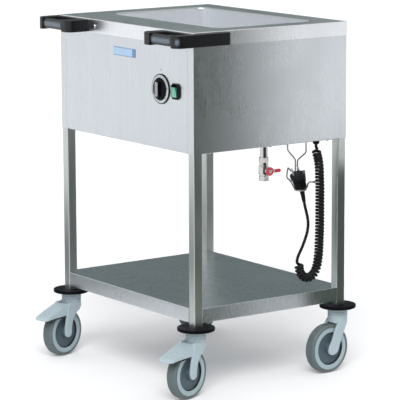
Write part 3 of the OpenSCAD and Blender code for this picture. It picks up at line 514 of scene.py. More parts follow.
# %% The finishes
STEEL = steel("brushed_steel", (0.595, 0.63, 0.66), 0.27)
LEG_STEEL = steel("leg_steel", (0.54, 0.575, 0.56), 0.30)
# Painted light: the deck, its skirt and its rolled edge get their own lighter or darker copies of the steel,
# standing in for the light each catches
DECK_STEEL_PAINTED_TONE = steel("deck_steel_painted_tone", (0.66, 0.70, 0.70), 0.28)
SKIRT_STEEL_PAINTED_LIGHTER = steel("skirt_steel_painted_lighter", (0.77, 0.79, 0.82), 0.27)
ROLL_STEEL_PAINTED_DARKER = steel("rolled_edge_steel_painted_darker", (0.42, 0.45, 0.46), 0.30)
# Painted light: the well's steel is a paler, less metallic copy, standing in for light scattered inside the
# well
WELL_STEEL_PAINTED_LIGHTER = steel("well_steel", (0.86, 0.88, 0.91), 0.20, 0.05, 0.4, 0.72)
BRIGHT = steel("bright_steel", (0.62, 0.62, 0.63), 0.24, 0.06, 3.0)
VALVE = steel("valve_metal", (0.66, 0.65, 0.64), 0.22, 0.08, 2.0)
RIM_GREY = plastic("rim_plastic", (0.30, 0.385, 0.425), 0.42, 0.2, 0.05, 0.2)
BLUE_GREY = plastic("castor_plastic", (0.38, 0.47, 0.51), 0.42, 0.2, 0.05, 0.2)
SLATE = plastic("hub_plastic", (0.060, 0.092, 0.115), 0.5, 0.2, 0.03, 0.2, (0.25, 0.27, 0.28))
TREAD = plastic("tread", (0.095, 0.125, 0.13), 0.62, 0.6, 0.04, 0.4, (0.30, 0.32, 0.31))
# Painted shade: this near-black finish darkens the wheels' grooves and the gap under each brake pedal
PAINTED_SHADE_DARK = plastic("painted_shade_dark", (0.012, 0.014, 0.015), 0.7, 0.4, 0.02, 0.1)
BLACK = plastic("black_plastic", (0.005, 0.005, 0.006), 0.36, 0.15, 0.02, 0.02, Specular_IOR_Level=0.10)
KNOB_BLACK = plastic("knob_plastic", (0.004, 0.004, 0.006), 0.20, 0.1, 0.02, 0.0, Specular_IOR_Level=0.05)
# Painted highlight: this pale grey stands in for light on the front of the knob's bar
KNOB_PAINTED_HIGHLIGHT = plastic("knob_painted_highlight", (0.26, 0.29, 0.31), 0.22, 0.1, 0.05, 0.0)
DIAL = plastic("dial", (0.55, 0.58, 0.62), 0.38, 0.1, 0.1, 0.0)
# Painted light: the rocker has a darker green for its flanks and a paler one for its front, as shaded and lit
# copies of one plastic
ROCKER_PAINTED_SHADE = plastic("green_lens", (0.010, 0.14, 0.085), 0.22, 0.05, 0.03, 0.0, Specular_IOR_Level=0.3)
BUMPER = plastic("bumper", (0.003, 0.003, 0.005), 0.30, 0.1, 0.01, 0.0, Specular_IOR_Level=0.02)
ROCKER_PAINTED_LIGHT = plastic("rocker_front_painted_light", (0.145, 0.46, 0.32), 0.25, 0.05, 0.05, 0.0)
INK = plastic("ink", (0.02, 0.02, 0.022), 0.5, 0.1, 0.0, 0.0)
INNER = plastic("inner_plastic", (0.30, 0.30, 0.29), 0.6, 0.2, 0.05, 0.2)
BLANKET = plastic("blanket", (0.60, 0.55, 0.40), 0.9, 1.0, 0.0, 0.0)
RED = plastic("lever_red", (0.46, 0.012, 0.03), 0.34, 0.1, 0.06, 0.0)
LEAD = plastic("lead", (0.004, 0.004, 0.005), 0.34, 0.15, 0.02, 0.02, Specular_IOR_Level=0.08)
WIRE = steel("holder_wire", (0.42, 0.42, 0.43), 0.26, 0.06, 3.0)
print(len(bpy.data.materials), "finishes of steel and plastic")

# %% [markdown]
# ## Handle finish
# The handles are black, but the grip's front and the bulge of each corner block are painted
# pale: a painted highlight where light catches the curve. There the surface is also a
# little glossier, as where hands have rubbed it. The pale places are worked out from the
# surface's place and from the way it faces. They could be separate materials, but then
# their borders would be hard.

# %% Handle finish, with a painted highlight on the grip's front and its corner blocks
GRIP_Z, GRIP_HALF, HIGHLIGHT_BLOCK_X, FADE_IN, FADE_OUT = 0.8815, 0.0115, 0.314, (.202, .212), (.277, .288)
GRIP, tree, place = new_finish("grip_black", Specular_IOR_Level=0.34)
facing = maths(tree, "MULTIPLY", coordinate(tree, "Normal", "Y"), -1.0)
aside = maths(tree, "ABSOLUTE", coordinate(tree, "Object", "X"))
height = maths(tree, "ABSOLUTE", maths(tree, "SUBTRACT", coordinate(tree, "Object", "Z"), GRIP_Z))
band = ranged(tree, height, 0.0, GRIP_HALF, 1.0, 0.0)
on_grip = maths(tree, "MULTIPLY", ranged(tree, aside, *FADE_IN), ranged(tree, aside, *FADE_OUT, 1.0, 0.0))
from_block = maths(tree, "ABSOLUTE", maths(tree, "SUBTRACT", aside, HIGHLIGHT_BLOCK_X))
on_block = ranged(tree, from_block, 0.003, 0.013, 1.0, 0.0)
on_grip = maths(tree, "MULTIPLY", on_grip, ranged(tree, facing, 0.6, 0.98))
on_block = maths(tree, "MULTIPLY", on_block, ranged(tree, facing, 0.35, 0.75))
# Painted highlight: a pale band on the grip's front and a pale patch on each corner block's bulge, where
# light would catch the curve
rub_wear_and_painted_highlight = maths(tree, "MULTIPLY", maths(tree, "MAXIMUM", on_grip, on_block), band)
streaks = noise(tree, times(tree, place, (30, 30, 400)), 1.0, 3.0)
rub_wear_and_painted_highlight = maths(tree, "MULTIPLY", rub_wear_and_painted_highlight, ranged(tree, streaks, 0.2, 0.6, 0.75, 1.0))
moulded = use(tree, GRAIN, Vector=place)
dark = blend_colours(tree, moulded["Shade"], (0.004, 0.005, 0.006), (0.007, 0.008, 0.010))
gloss = maths(tree, "ADD", rub_wear_and_painted_highlight, maths(tree, "MULTIPLY", moulded["Height"], 0.2))
feed(GRIP, tree, Base_Color=blend_colours(tree, rub_wear_and_painted_highlight, dark, (0.15, 0.19, 0.23)),
     Roughness=ranged(tree, gloss, 0.0, 1.2, 0.36, 0.26),
     Normal=bumped(tree, moulded["Height"], 0.15, 0.0002))
print(GRIP.name, "has", len(tree.nodes), "nodes")

# %% [markdown]
# ## Badge finish
# The badge is a thin printed plate, left bare of any lettering. Its border and bar are
# drawn by comparing the surface's place with a few measures, as a printer's layout would.

# %% Badge: a pale field with thin border lines and a bar at its right-hand end
BADGE_Z, BADGE_H, BADGE_END, BADGE_BAR = 0.828, 0.022, 0.049, 0.013
BADGE, tree, place = new_finish("badge", Metallic=0.3)
from_middle = maths(tree, "ABSOLUTE", maths(tree, "SUBTRACT", coordinate(tree, "Object", "Z"), BADGE_Z))
border = ranged(tree, from_middle, BADGE_H / 2 - .0024, BADGE_H / 2 - .0018)
bar_start = BADGE_END - BADGE_BAR
bar = ranged(tree, coordinate(tree, "Object", "X"), bar_start - .0004, bar_start + .0004)
printed = use(tree, GRAIN, Vector=place)
smudge = use(tree, SMUDGES, Vector=place, Scale=30.0)["Mask"]
field = blend_colours(tree, printed["Shade"], (0.36, 0.53, 0.74), (0.43, 0.60, 0.79))
lined = blend_colours(tree, border, field, (0.20, 0.33, 0.52))
feed(BADGE, tree, Base_Color=blend_colours(tree, bar, lined, (0.15, 0.26, 0.46)),
     Roughness=maths(tree, "ADD", maths(tree, "MULTIPLY", smudge, 0.15), 0.3),
     Normal=bumped(tree, printed["Height"], 0.1, 0.0002))
print(len(bpy.data.materials), "finishes")

# %% [markdown]
# ## Mains lead
# A curly lead is one long wire wound into a helix that itself follows a hanging line.
# The line's points are the solid model's. A curve through them is sampled evenly, and
# a loop walks the helix round it, so that the turns lie close and even. A Screw modifier
# would wind a coil too, but only a straight one. The wire leaves the coil at its side and
# runs on up to the plug.

# %% The line that the curly stretch follows
CABLE_D, COIL_D, COIL_PITCH = 0.0075, 0.0245, 0.0085
STEPS_PER_TURN, STRAIGHT, OPENING, SLOW_START = 18, 0.004, 0.014, 0.42
LEAVING_STEPS, SIDE_REACH, SIDE_LIFT, LAST_TURN = 9, 1.06, 0.003, math.radians(270)
TAIL_SPACING, SOFT_STEPS, SOFT_PASSES = 0.002, 7, 30
COIL_LINE = [(0, -.014), (0, -.026), (.004, -.041), (.008, -.055), (.011, -.078), (.012, -.103),
             (.013, -.128), (.013, -.153), (.013, -.178), (.013, -.203), (.013, -.228), (.012, -.253),
             (.011, -.273), (.010, -.293), (.007, -.315), (.002, -.333), (-.006, -.346), (-.017, -.353),
             (-.028, -.354), (-.039, -.350), (-.048, -.341), (-.052, -.329), (-.053, -.322), (-.053, -.315)]
TAIL_LINE = [(-.062, -.311), (-.060, -.303), (-.054, -.291), (-.045, -.276), (-.036, -.258),
             (-.029, -.241), (-.025, -.224), (-.025, -.207), (-.029, -.189), (-.0345, -.170), (-.038, -.155)]
print("coil of", round(COIL_D / CABLE_D, 1), "cable diameters")


# %% Smooth and sample a line
CURVE_STEPS = 20


def below_gland(point):
    """A point (behind the gland, above the cabinet's bottom) as a place in the frame."""
    return Vector((LEAD_X, GLAND_Y + point[0], BASE_Z + point[1]))


def smooth_line(points, spacing):
    """Evenly spaced points on a smooth curve through the given ones."""
    ends = [2 * points[0] - points[1], *points, 2 * points[-1] - points[-2]]
    fine = []
    for a, b, c, d in zip(ends, ends[1:], ends[2:], ends[3:]):
        for step in range(CURVE_STEPS):
            t = step / CURVE_STEPS
            fine.append(0.5 * (2 * b + (c - a) * t + (2 * a - 5 * b + 4 * c - d) * t * t
                               + (3 * b - a - 3 * c + d) * t * t * t))
    fine.append(points[-1])
    even, spot, left = [fine[0]], fine[0], spacing
    for target in fine[1:]:
        while (target - spot).length >= left:
            spot = spot + (target - spot).normalized() * left
            even.append(spot)
            left = spacing
        left -= (target - spot).length
        spot = target
    return even


def ease(t):
    """0 to 1 with soft ends."""
    t = min(max(t, 0), 1)
    return t * t * (3 - 2 * t)


print("a quarter of the way in, ease gives", ease(0.25))

# %% [markdown]
# ## Winding the coil
# The straight end comes down the middle of the coil and opens out into the first turn, so
# the helix starts with no radius and turns slowly until it has all of it. At the far end
# the last half turn is blended into a point beside the coil, where the tail starts. The
# join is softened by averaging each point with its neighbours.

# %% Wind the helix and add the tail
coil_line = smooth_line([below_gland(p) for p in COIL_LINE], COIL_PITCH / STEPS_PER_TURN)
across = Vector((1, 0, 0))
coil_radius = (COIL_D - CABLE_D) / 2
last = len(coil_line) - 1
opened = round((STRAIGHT + OPENING) / COIL_PITCH * STEPS_PER_TURN)
lead_points = []
for i, spot in enumerate(coil_line):
    heading = (coil_line[min(i + 1, last)] - coil_line[max(i - 1, 0)]).normalized()
    sideways = heading.cross(across)
    wound = max(i, opened) - (opened - min(i, opened)) * SLOW_START
    turn = 2 * math.pi * (wound - last) / STEPS_PER_TURN + LAST_TURN
    spread = coil_radius * ease((i * COIL_PITCH / STEPS_PER_TURN - STRAIGHT) / OPENING)
    helix = spot + spread * (math.cos(turn) * across + math.sin(turn) * sideways)
    leaving = ease((i - last + LEAVING_STEPS) / LEAVING_STEPS)
    straight = spot - coil_radius * SIDE_REACH * sideways + Vector((0, 0, SIDE_LIFT)) * leaving
    lead_points.append(helix.lerp(straight, leaving))
join = len(lead_points)
lead_points += smooth_line([lead_points[-1]] + [below_gland(p) for p in TAIL_LINE], TAIL_SPACING)[1:]
lead_points[-1] = below_gland(TAIL_LINE[-1])
for _ in range(SOFT_PASSES):
    for k in range(join - SOFT_STEPS, join + SOFT_STEPS):
        lead_points[k] = (lead_points[k - 1] + lead_points[k] * 2 + lead_points[k + 1]) / 4


# %% [markdown]
# ## The cable's round section
# A curve with a bevel depth is a pipe along its points, and stays easy to change. A round
# drawn with few sides is a little thin between its corners, so it is drawn 1.5 % thicker.

# %% Show the lead as a round curve
ROUND_UP = 1.015


def round_wire(name, lines, diameter):
    """Curve with a round section along every line of points."""
    curve = bpy.data.curves.new(name, "CURVE")
    curve.dimensions = "3D"
    curve.bevel_depth = diameter / 2
    curve.bevel_resolution = 3
    curve.use_fill_caps = True
    for line in lines:
        spline = curve.splines.new("POLY")
        spline.points.add(len(line) - 1)
        for point, place in zip(spline.points, line):
            point.co = (*place, 1)
    return curve


lead_curve = round_wire("mains_lead", [lead_points], CABLE_D * ROUND_UP)
lead = add_piece("mains_lead", lead_curve, LEAD, "root", ("cord_coil", "cord_tail"))
print("lead drawn through", len(lead_points), "points")

# %% [markdown]
# ## Cabinet
# The cabinet is folded from sheet: one flat blank gets flanges along its borders, the
# folds are bevelled to the radius of a press brake, and Solidify gives the metal its
# thickness. That is how the real one is made, and it leaves the same seams.

# %% Deck: a sheet with an opening, its skirt folded down
WELL_W, WELL_L, WELL_R, WELL_Y, WELL_FLOOR = 0.484, 0.300, 0.032, CABINET_Y + 0.030, 0.700
SKIRT_BEND, ROLL_R, ROLL_STEPS = 0.002, 0.005, 4

deck = bmesh.new()
outline_face(deck, rectangle(WELL_W + 2 * ROLL_R, WELL_L + 2 * ROLL_R, (0, WELL_Y)),
             [WELL_R + ROLL_R] * 4, 8, TOP_Z)
bmesh.ops.delete(deck, geom=list(deck.faces), context="FACES_ONLY")
opening = list(deck.edges)
border = [deck.verts.new((x, y, TOP_Z)) for x, y in rectangle(2 * SKIRT_X, 2 * SKIRT_Y, (0, CABINET_Y))]
border = [deck.edges.new(pair) for pair in zip(border, border[1:] + border[:1])]
bmesh.ops.triangle_fill(deck, use_beauty=True, use_dissolve=False, edges=opening + border)
turn_faces(deck, (0, 0, 1))


def on_border(edge):
    """True on the deck's outer edges."""
    spot = middle(edge)
    return abs(abs(spot.x) - SKIRT_X) < 1e-5 or abs(abs(spot.y - CABINET_Y) - SKIRT_Y) < 1e-5


fold(deck, on_border, (0, 0, -SKIRT_H))
round_edges(deck, SKIRT_BEND, 4)
print("deck and skirt have", len(deck.faces), "faces")

# %% Roll the edge of the opening down into the well
for step in range(1, ROLL_STEPS + 1):
    angle, before = math.radians(90 * step / ROLL_STEPS), math.radians(90 * (step - 1) / ROLL_STEPS)
    drop = ROLL_R * (math.cos(before) - math.cos(angle))
    inwards = ROLL_R * (math.sin(angle) - math.sin(before))
    rim = [e for e in deck.edges if len(e.link_faces) == 1 and not on_border(e)
           and middle(e).z > TOP_Z - SKIRT_H / 2]
    made = bmesh.ops.extrude_edge_only(deck, edges=rim)
    for vert in new_verts(made):
        corner = Vector((math.copysign(WELL_W / 2 - WELL_R, vert.co.x),
                         WELL_Y + math.copysign(WELL_L / 2 - WELL_R, vert.co.y - WELL_Y)))
        offset = Vector((vert.co.x, vert.co.y)) - corner
        if abs(vert.co.x) < WELL_W / 2 - WELL_R - 1e-6:
            offset.x = 0
        if abs(vert.co.y - WELL_Y) < WELL_L / 2 - WELL_R - 1e-6:
            offset.y = 0
        offset.normalize()
        vert.co.x -= inwards * offset.x
        vert.co.y -= inwards * offset.y
        vert.co.z -= drop

# %% Give the skirt and the rolled edge their own finishes: steel painted lighter on the skirt, darker on the rolled edge
for face in deck.faces:
    spot = face.calc_center_median()
    if spot.z < TOP_Z - 1e-4:
        at_skirt = abs(spot.x) > SKIRT_X - .01 or abs(spot.y - CABINET_Y) > SKIRT_Y - .01
        face.material_index = 1 if at_skirt else 2
deck_piece = finish_piece(deck, "deck", DECK_STEEL_PAINTED_TONE, stands_for=("top_frame",), thickness=SHEET)
for finish in (SKIRT_STEEL_PAINTED_LIGHTER, ROLL_STEEL_PAINTED_DARKER):
    deck_piece.data.materials.append(finish)

# %% [markdown]
# ## Well
# The well is drawn from one sheet, so its floor runs into the walls without a seam. Here
# its floor is one rounded face, its walls are folded up from it, and the bottom edge gets
# the bend of the press tool. The drain's bore is cut last, through the finished wall.

# %% Well with its rounded floor
WELL_TOP = TOP_Z - ROLL_R
FLOOR_R, DRAIN_X, DRAIN_Y, DRAIN_BORE = 0.012, 0.221, CABINET_Y + 0.034, 0.016

well = bmesh.new()
outline_face(well, rectangle(WELL_W, WELL_L, (0, WELL_Y)), [WELL_R] * 4, 10, WELL_FLOOR)
fold(well, lambda e: True, (0, 0, WELL_TOP - WELL_FLOOR))
round_edges(well, FLOOR_R, 5)
turn_faces(well, (0, 0, 1))
hole = bmesh.new()
bmesh.ops.create_cone(hole, cap_ends=True, segments=32, radius1=DRAIN_BORE / 2, radius2=DRAIN_BORE / 2,
                      depth=0.02, matrix=Matrix.Translation((DRAIN_X, DRAIN_Y, WELL_FLOOR)))
bmesh.ops.solidify(well, geom=well.faces[:], thickness=SHEET)
well = combined(well, hole, "DIFFERENCE")
# The well's paler steel is painted light
finish_piece(well, "well_pan", WELL_STEEL_PAINTED_LIGHTER, stands_for=("well",))


# %% [markdown]
# ## Panels
# Each panel is a flat sheet with a lip folded in under it, and the side panels also have
# flanges behind the front and the rear one. The front is cut for the switch, whose housing
# reaches through it. Cutting the hole lets the switch's window be deep instead of painted.

# %% Side panels
FLANGE, LIP, PANEL_TOP = 0.025, 0.014, TOP_Z - SHEET
LIP_X, LIP_Y = LEG_X - LEG_NOTCH / 2, LEG_Y - LEG_NOTCH / 2
FRONT_HALF = PANEL_X - FLANGE - 0.0005
FOLD_R = 0.0018


def wall_panel(half, inner_half):
    """Upright sheet facing +X, 2 * half wide, with a lip folded in at the middle of its foot."""
    bm = bmesh.new()
    outline = [(-half, BASE_Z), (-inner_half, BASE_Z), (inner_half, BASE_Z), (half, BASE_Z),
               (half, PANEL_TOP), (-half, PANEL_TOP)]
    bm.faces.new([bm.verts.new((0, y, z)) for y, z in outline])
    fold(bm, lambda e: abs(middle(e).z - BASE_Z) < 1e-6 and abs(middle(e).y) < 1e-6, (-LIP, 0, 0))
    return bm


for side, name in ((-1, "left"), (1, "right")):
    panel = wall_panel(PANEL_Y, LIP_Y)
    fold(panel, lambda e: abs(abs(middle(e).y) - PANEL_Y) < 1e-6, (-FLANGE, 0, 0))
    round_edges(panel, FOLD_R, 4)
    moved(panel, Matrix.Translation((side * PANEL_X, CABINET_Y, 0)) @ mirrored(side))
    turn_faces(panel, (side, 0, 0))
    finish_piece(panel, "side_sheet_" + name, STEEL, stands_for=("side_panel_" + name,), thickness=SHEET)

# %% Front panel, cut for the switch
DIAL_X, DIAL_Z, SWITCH_X, HOUSING, CUT_PLAY = 0.161, 0.751, 0.225, (0.0240, 0.0360), 0.0004


def on_face(x, z):
    """Frame on the front panel: +Z points out towards the operator, +Y up."""
    return Matrix.Translation((x, FRONT_Y, z)) @ FACE_WAYS


front = wall_panel(FRONT_HALF, LIP_X)
round_edges(front, FOLD_R, 4)
moved(front, Matrix.Translation((0, CABINET_Y - PANEL_Y, 0)) @ Matrix.Rotation(math.radians(-90), 4, "Z"))
turn_faces(front, (0, -1, 0))
bmesh.ops.solidify(front, geom=front.faces[:], thickness=SHEET)
switch_hole = moved(prism(rectangle(HOUSING[0] + CUT_PLAY, HOUSING[1] + CUT_PLAY), -.01, .01),
                    on_face(SWITCH_X, DIAL_Z))
finish_piece(combined(front, switch_hole, "DIFFERENCE"), "front_sheet", STEEL, stands_for=("front_panel",))

# %% Rear panel
rear = wall_panel(FRONT_HALF, LIP_X)
round_edges(rear, FOLD_R, 4)
moved(rear, Matrix.Translation((0, CABINET_Y + PANEL_Y, 0)) @ Matrix.Rotation(math.radians(90), 4, "Z"))
turn_faces(rear, (0, 1, 0))
finish_piece(rear, "rear_sheet", STEEL, stands_for=("rear_panel",), thickness=SHEET)

# %% [markdown]
# ## Lower shelf
# The shelf is a tray turned upside down: a flat top, a skirt, and a lip under the skirt
# that stiffens it. Its corners are notched, so that the legs pass through. A box could be
# cut hollow, but folding the plan's own edges gives the rounds and the hollow at once.

# %% Lower shelf, notched round the legs
SHELF_Z, SHELF_H, SHELF_LIP = 0.219, 0.037, 0.012
inner_x, inner_y = PANEL_X - SHEET, PANEL_Y - SHEET
shelf = bmesh.new()
quarter = [(inner_x, LIP_Y), (LIP_X, LIP_Y), (LIP_X, inner_y)]
half_plan = quarter + [(-x, y) for x, y in reversed(quarter)]
notched = half_plan + [(-x, -y) for x, y in half_plan]
shelf.faces.new([shelf.verts.new((x, y, SHELF_Z)) for x, y in notched])


def outer(edge):
    """True on the shelf's four long sides."""
    return abs(abs(middle(edge).x) - inner_x) < 1e-6 or abs(abs(middle(edge).y) - inner_y) < 1e-6


fold(shelf, outer, (0, 0, -SHELF_H))
for axis, sign in ((0, 1), (0, -1), (1, 1), (1, -1)):
    reach = (inner_x, inner_y)[axis]
    inwards = [0, 0, 0]
    inwards[axis] = -sign * SHELF_LIP
    fold(shelf, lambda e: abs(middle(e).z - SHELF_Z + SHELF_H) < 1e-6
         and abs(middle(e)[axis] - sign * reach) < 1e-6, inwards)
round_edges(shelf, FOLD_R, 4)
moved(shelf, Matrix.Translation((0, CABINET_Y, 0)))
turn_faces(shelf, (0, 0, 1))
finish_piece(shelf, "shelf_tray", STEEL, stands_for=("lower_shelf",), thickness=SHEET)

# %% [markdown]
# ## Castors
# A castor's fork is one moulding, whose neck flows into two cheeks. Such a soft blend
# is hard to model by hand, so the rough shapes are joined, remeshed into small even
# faces and then smoothed, which rounds every corner as a mould does. The collar at its
# top stays crisp, so it is turned and added afterwards.

# %% Measures and outlines of a castor, in its own frame
WHEEL_R, TRAIL, NECK_TOP, NECK_R, CHEEK_IN, CHEEK_OUT = 0.0625, 0.038, 0.1637, 0.0255, 0.0185, 0.0250
HOOD_Z, ARCH_R, COLLAR_Z, COLLAR_BORE, COLLAR_GROOVES = 0.116, 0.0655, 0.147, 0.0205, (0.1566, 0.1492)
VOXEL, MOULD_PASSES = 0.0012, 5
CHEEK = [(-.004, .143), (.004, .143), (.0235, .125), (.0325, .104), (.0405, .084), (.0520, .066),
         (.0520, .0475), (.0235, .0475), (.0170, .066), (.001, .102), (-.012, .128)]
CHEEK_ROUND = [0, .004, .010, .008, .008, .008, .0140, .0140, .010, .020, .010]
BRAKED_CHEEK = [(-.004, .143), (.004, .143), (.021, .1385), (.030, .1410), (.038, .1410), (.0400, .126),
                (.0460, .100), (.0515, .074), (.0515, .0500), (.0275, .0500), (.0270, .074),
                (.0200, .098), (.004, .114), (-.013, .130)]
BRAKED_ROUND = [0, .004, .006, .004, .006, .006, .008, .008, .0118, .0118, .010, .012, .010, .006]
SIDE_WAYS = Matrix(((0, 0, 1, 0), (-1, 0, 0, 0), (0, 1, 0, 0), (0, 0, 0, 1)))
print("room over the tyre", round((ARCH_R - WHEEL_R) * 1000, 1), "mm")


# %% Shapes across a castor, and rough solids made smooth
def side_shape(points, radii, low, high):
    """Solid with an outline of (distance in front, height), from x = low to x = high."""
    return moved(prism(points, low, high, radii), SIDE_WAYS)


def remeshed(bm, voxel, passes):
    """Rebuild a rough solid from small even faces and smooth it."""
    mesh = bpy.data.meshes.new("rough")
    bm.to_mesh(mesh)
    bm.free()
    rough = bpy.data.objects.new("rough", mesh)
    bpy.context.scene.collection.objects.link(rough)
    remesh = rough.modifiers.new("even faces", "REMESH")
    remesh.mode, remesh.voxel_size = "VOXEL", voxel
    result = bmesh.new()
    result.from_object(rough, bpy.context.evaluated_depsgraph_get())
    bpy.data.objects.remove(rough)
    for _ in range(passes):
        bmesh.ops.smooth_vert(result, verts=result.verts, factor=0.5, use_axis_x=True, use_axis_y=True,
                              use_axis_z=True)
    return result


def across_castor(radius, width):
    """Cylinder about the castor's axle."""
    bm = bmesh.new()
    bmesh.ops.create_cone(bm, cap_ends=True, segments=96, radius1=radius, radius2=radius, depth=width,
                          matrix=Matrix.Translation((0, -TRAIL, WHEEL_R)) @ AXLE_WAYS)
    return bm


# %% Fork
def fork(braked):
    """Moulded fork: a neck arched over the wheel, two cheeks and a turned collar."""
    neck = turned([(0, COLLAR_Z + .001), (NECK_R - .0002, COLLAR_Z + .001),
                   (NECK_R - .0002, HOOD_Z + .009), (COLLAR_BORE, HOOD_Z - .002), (0, HOOD_Z - .002)], 64)
    body = combined(neck, across_castor(ARCH_R, 2 * CHEEK_IN), "DIFFERENCE")
    outline, radii = (BRAKED_CHEEK, BRAKED_ROUND) if braked else (CHEEK, CHEEK_ROUND)
    for side in (-1, 1):
        cheek = side_shape(outline, radii, CHEEK_IN, CHEEK_OUT + .0003)
        round_edges(cheek, .0014, 2, where=lambda e: middle(e).x > CHEEK_OUT)
        body = combined(body, moved(cheek, mirrored(side)))
    body = remeshed(body, VOXEL, MOULD_PASSES)
    collar = [(COLLAR_BORE, NECK_TOP), (NECK_R - .0008, NECK_TOP), (NECK_R, NECK_TOP - .0008)]
    for groove in COLLAR_GROOVES:
        collar += [(NECK_R, groove), (NECK_R - .0012, groove - .0007), (NECK_R - .0012, groove - .0016),
                   (NECK_R, groove - .0023)]
    collar += [(NECK_R, COLLAR_Z), (NECK_R - .0008, COLLAR_Z - .0006), (COLLAR_BORE, COLLAR_Z - .0006)]
    return with_bmesh(body, turned(collar, 64, closed=True))


# %% Place the forks under the legs
def under_leg(side, row):
    """Place on the floor under a leg."""
    return Matrix.Translation((side * LEG_X, CABINET_Y + row * LEG_Y, 0))


def castor_place(name):
    """Where a castor stands and how far it has turned."""
    side, row, turn = CORNERS[name]
    return under_leg(side, row) @ Matrix.Rotation(math.radians(turn), 4, "Z")


for name, (_, row, _) in CORNERS.items():
    piece = moved(fork(row < 0), castor_place(name))
    finish_piece(piece, "fork_" + name, BLUE_GREY, "castor_" + name,
                 ("housing_" + name,), 50)

# %% [markdown]
# ## Wheels
# A rim of grey plastic carries a rubber tread moulded onto it. Half of each section is
# listed, mirrored, and spun about the axle, as a turner would work from a template. The
# flat disc inside the rim and the groove round it are picked by their radius; the groove
# is painted near-black as shade.

# %% Wheels turned on their axles
RIM_HALF = [(.0041, .0182), (.0144, .0182), (.0150, .0176), (.0150, .0096), (.0156, .0090),
            (.0396, .0090), (.0400, .0078), (.0412, .0078), (.0422, .0132), (.0430, .0140),
            (.0538, .0140), (.0545, .0133)]
TYRE_HALF = [(.05455, .0136), (.0551, .0146), (.0562, .0150), (.0578, .0149), (.0595, .0143),
             (.0609, .0132), (.0619, .0114), (.0624, .0085), (.0625, .0040)]
DISC_R, GROOVE_R, WHEEL_STEPS = 0.0397, 0.0424, 96


def wheel_part(half):
    """Ring of the given half section, turned about the axle."""
    outline = half + [(r, -h) for r, h in reversed(half)]
    return moved(turned(outline, WHEEL_STEPS, closed=True), AXLE_WAYS)


for name in CORNERS:
    at_axle = castor_place(name) @ Matrix.Translation((0, -TRAIL, WHEEL_R))
    rim = wheel_part(RIM_HALF)
    for face in rim.faces:
        spot = face.calc_center_median()
        radius = math.hypot(spot.y, spot.z)
        # The groove, slot 2, is painted near-black as shade
        face.material_index = 1 if radius < DISC_R else 2 if radius < GROOVE_R else 0
    piece = finish_piece(moved(rim, at_axle), "rim_ring_" + name, RIM_GREY, "wheel_" + name,
                         ("rim_" + name,), 30)
    for finish in (SLATE, PAINTED_SHADE_DARK):
        piece.data.materials.append(finish)
    finish_piece(moved(wheel_part(TYRE_HALF), at_axle), "tread_" + name, TREAD, "wheel_" + name,
                 ("tyre_" + name,), 30)

# %% [markdown]
# ## Brake pedals
# The pedal is a hooded wedge over the tyre, with ribs for the toe and a dark block below
# it, painted near-black as the shade in the gap over the tread. Cutting the wheel's and the
# fork's room out of a bevelled wedge gives the same thin shell as the mould does, and keeps
# the pedal clear of both.

# %% Outlines of a brake pedal
PEDAL_HALF, ROOM_HALF, POCKET_R, POCKET_WIDTH, TOE_U = 0.023, 0.0181, WHEEL_R + 0.002, 0.0354, 0.1227
PEDAL_TOP = [(.0330, .1385), (.056, .1322), (.092, .1205), (.1165, .1110), (.1236, .1070)]
PEDAL = PEDAL_TOP + [(.1226, .1052), (.1100, .1078), (.080, .1092), (.046, .1095), (.036, .1090),
                     (.0330, .1300)]
PEDAL_ROUND = [.003, .008, .008, .004, .0006, .0006, .004, .004, .004, .001, .001]
SHADE_BLOCK_LOW, SHADE_BLOCK_HALF, STRIP_IN, STRIP_OUT = .1037, .0165, .0182, .0222
RIB_PLACES = [.068 + .0068 * i for i in range(7)]


def pedal_height(u):
    """Height of the pedal's top at a distance in front of the stem."""
    for (u0, z0), (u1, z1) in zip(PEDAL_TOP, PEDAL_TOP[1:]):
        if u <= u1:
            return z0 + (z1 - z0) * (u - u0) / (u1 - u0)


print("pedal", round(pedal_height(TOE_U) * 1000, 1), "mm high at its toe")


# %% Hood of a pedal
def pedal_hood():
    """Wedge with rounded edges, cut out for the wheel and for the fork's cheeks."""
    body = side_shape(PEDAL, PEDAL_ROUND, -PEDAL_HALF, PEDAL_HALF)
    plan = [(-PEDAL_HALF, -TOE_U), (PEDAL_HALF, -TOE_U), (PEDAL_HALF, -.02), (-PEDAL_HALF, -.02)]
    body = combined(body, prism(plan, .10, .145, [.011, .011, 0, 0], 8), "INTERSECT")
    round_edges(body, .0036, 5, 35)
    body = combined(body, across_castor(POCKET_R, POCKET_WIDTH), "DIFFERENCE")
    for side in (-1, 1):
        outline = [(-.02, .150), (.014, .150), (.024, .1425), (.0395, .1425), (.0412, .126),
                   (.0445, .104), (.05, .09), (-.02, .09)]
        room = side_shape(outline, [0, .004, .006, .006, .006, .006, 0, 0], ROOM_HALF, .03)
        body = combined(body, moved(room, mirrored(side)), "DIFFERENCE")
    return body


# %% Painted shade block and toe ribs of a pedal
def pedal_shoe():
    """Dark block over the tread, with a strip down each side, painted shade for the gap under the pedal."""
    outline = [(.078, .1105), (.114, .1085), (.1095, SHADE_BLOCK_LOW), (.078, SHADE_BLOCK_LOW)]
    shade_block = side_shape(outline, (), -SHADE_BLOCK_HALF, SHADE_BLOCK_HALF)
    shade_block = combined(shade_block, across_castor(POCKET_R, .06), "DIFFERENCE")
    for side in (-1, 1):
        outline = [(.050, .1120), (.109, .1095), (.105, SHADE_BLOCK_LOW), (.050, SHADE_BLOCK_LOW + .0015)]
        strip = side_shape(outline, (), STRIP_IN, STRIP_OUT)
        with_bmesh(shade_block, moved(strip, mirrored(side)))
    for face in shade_block.faces:
        face.material_index = 1
    return shade_block


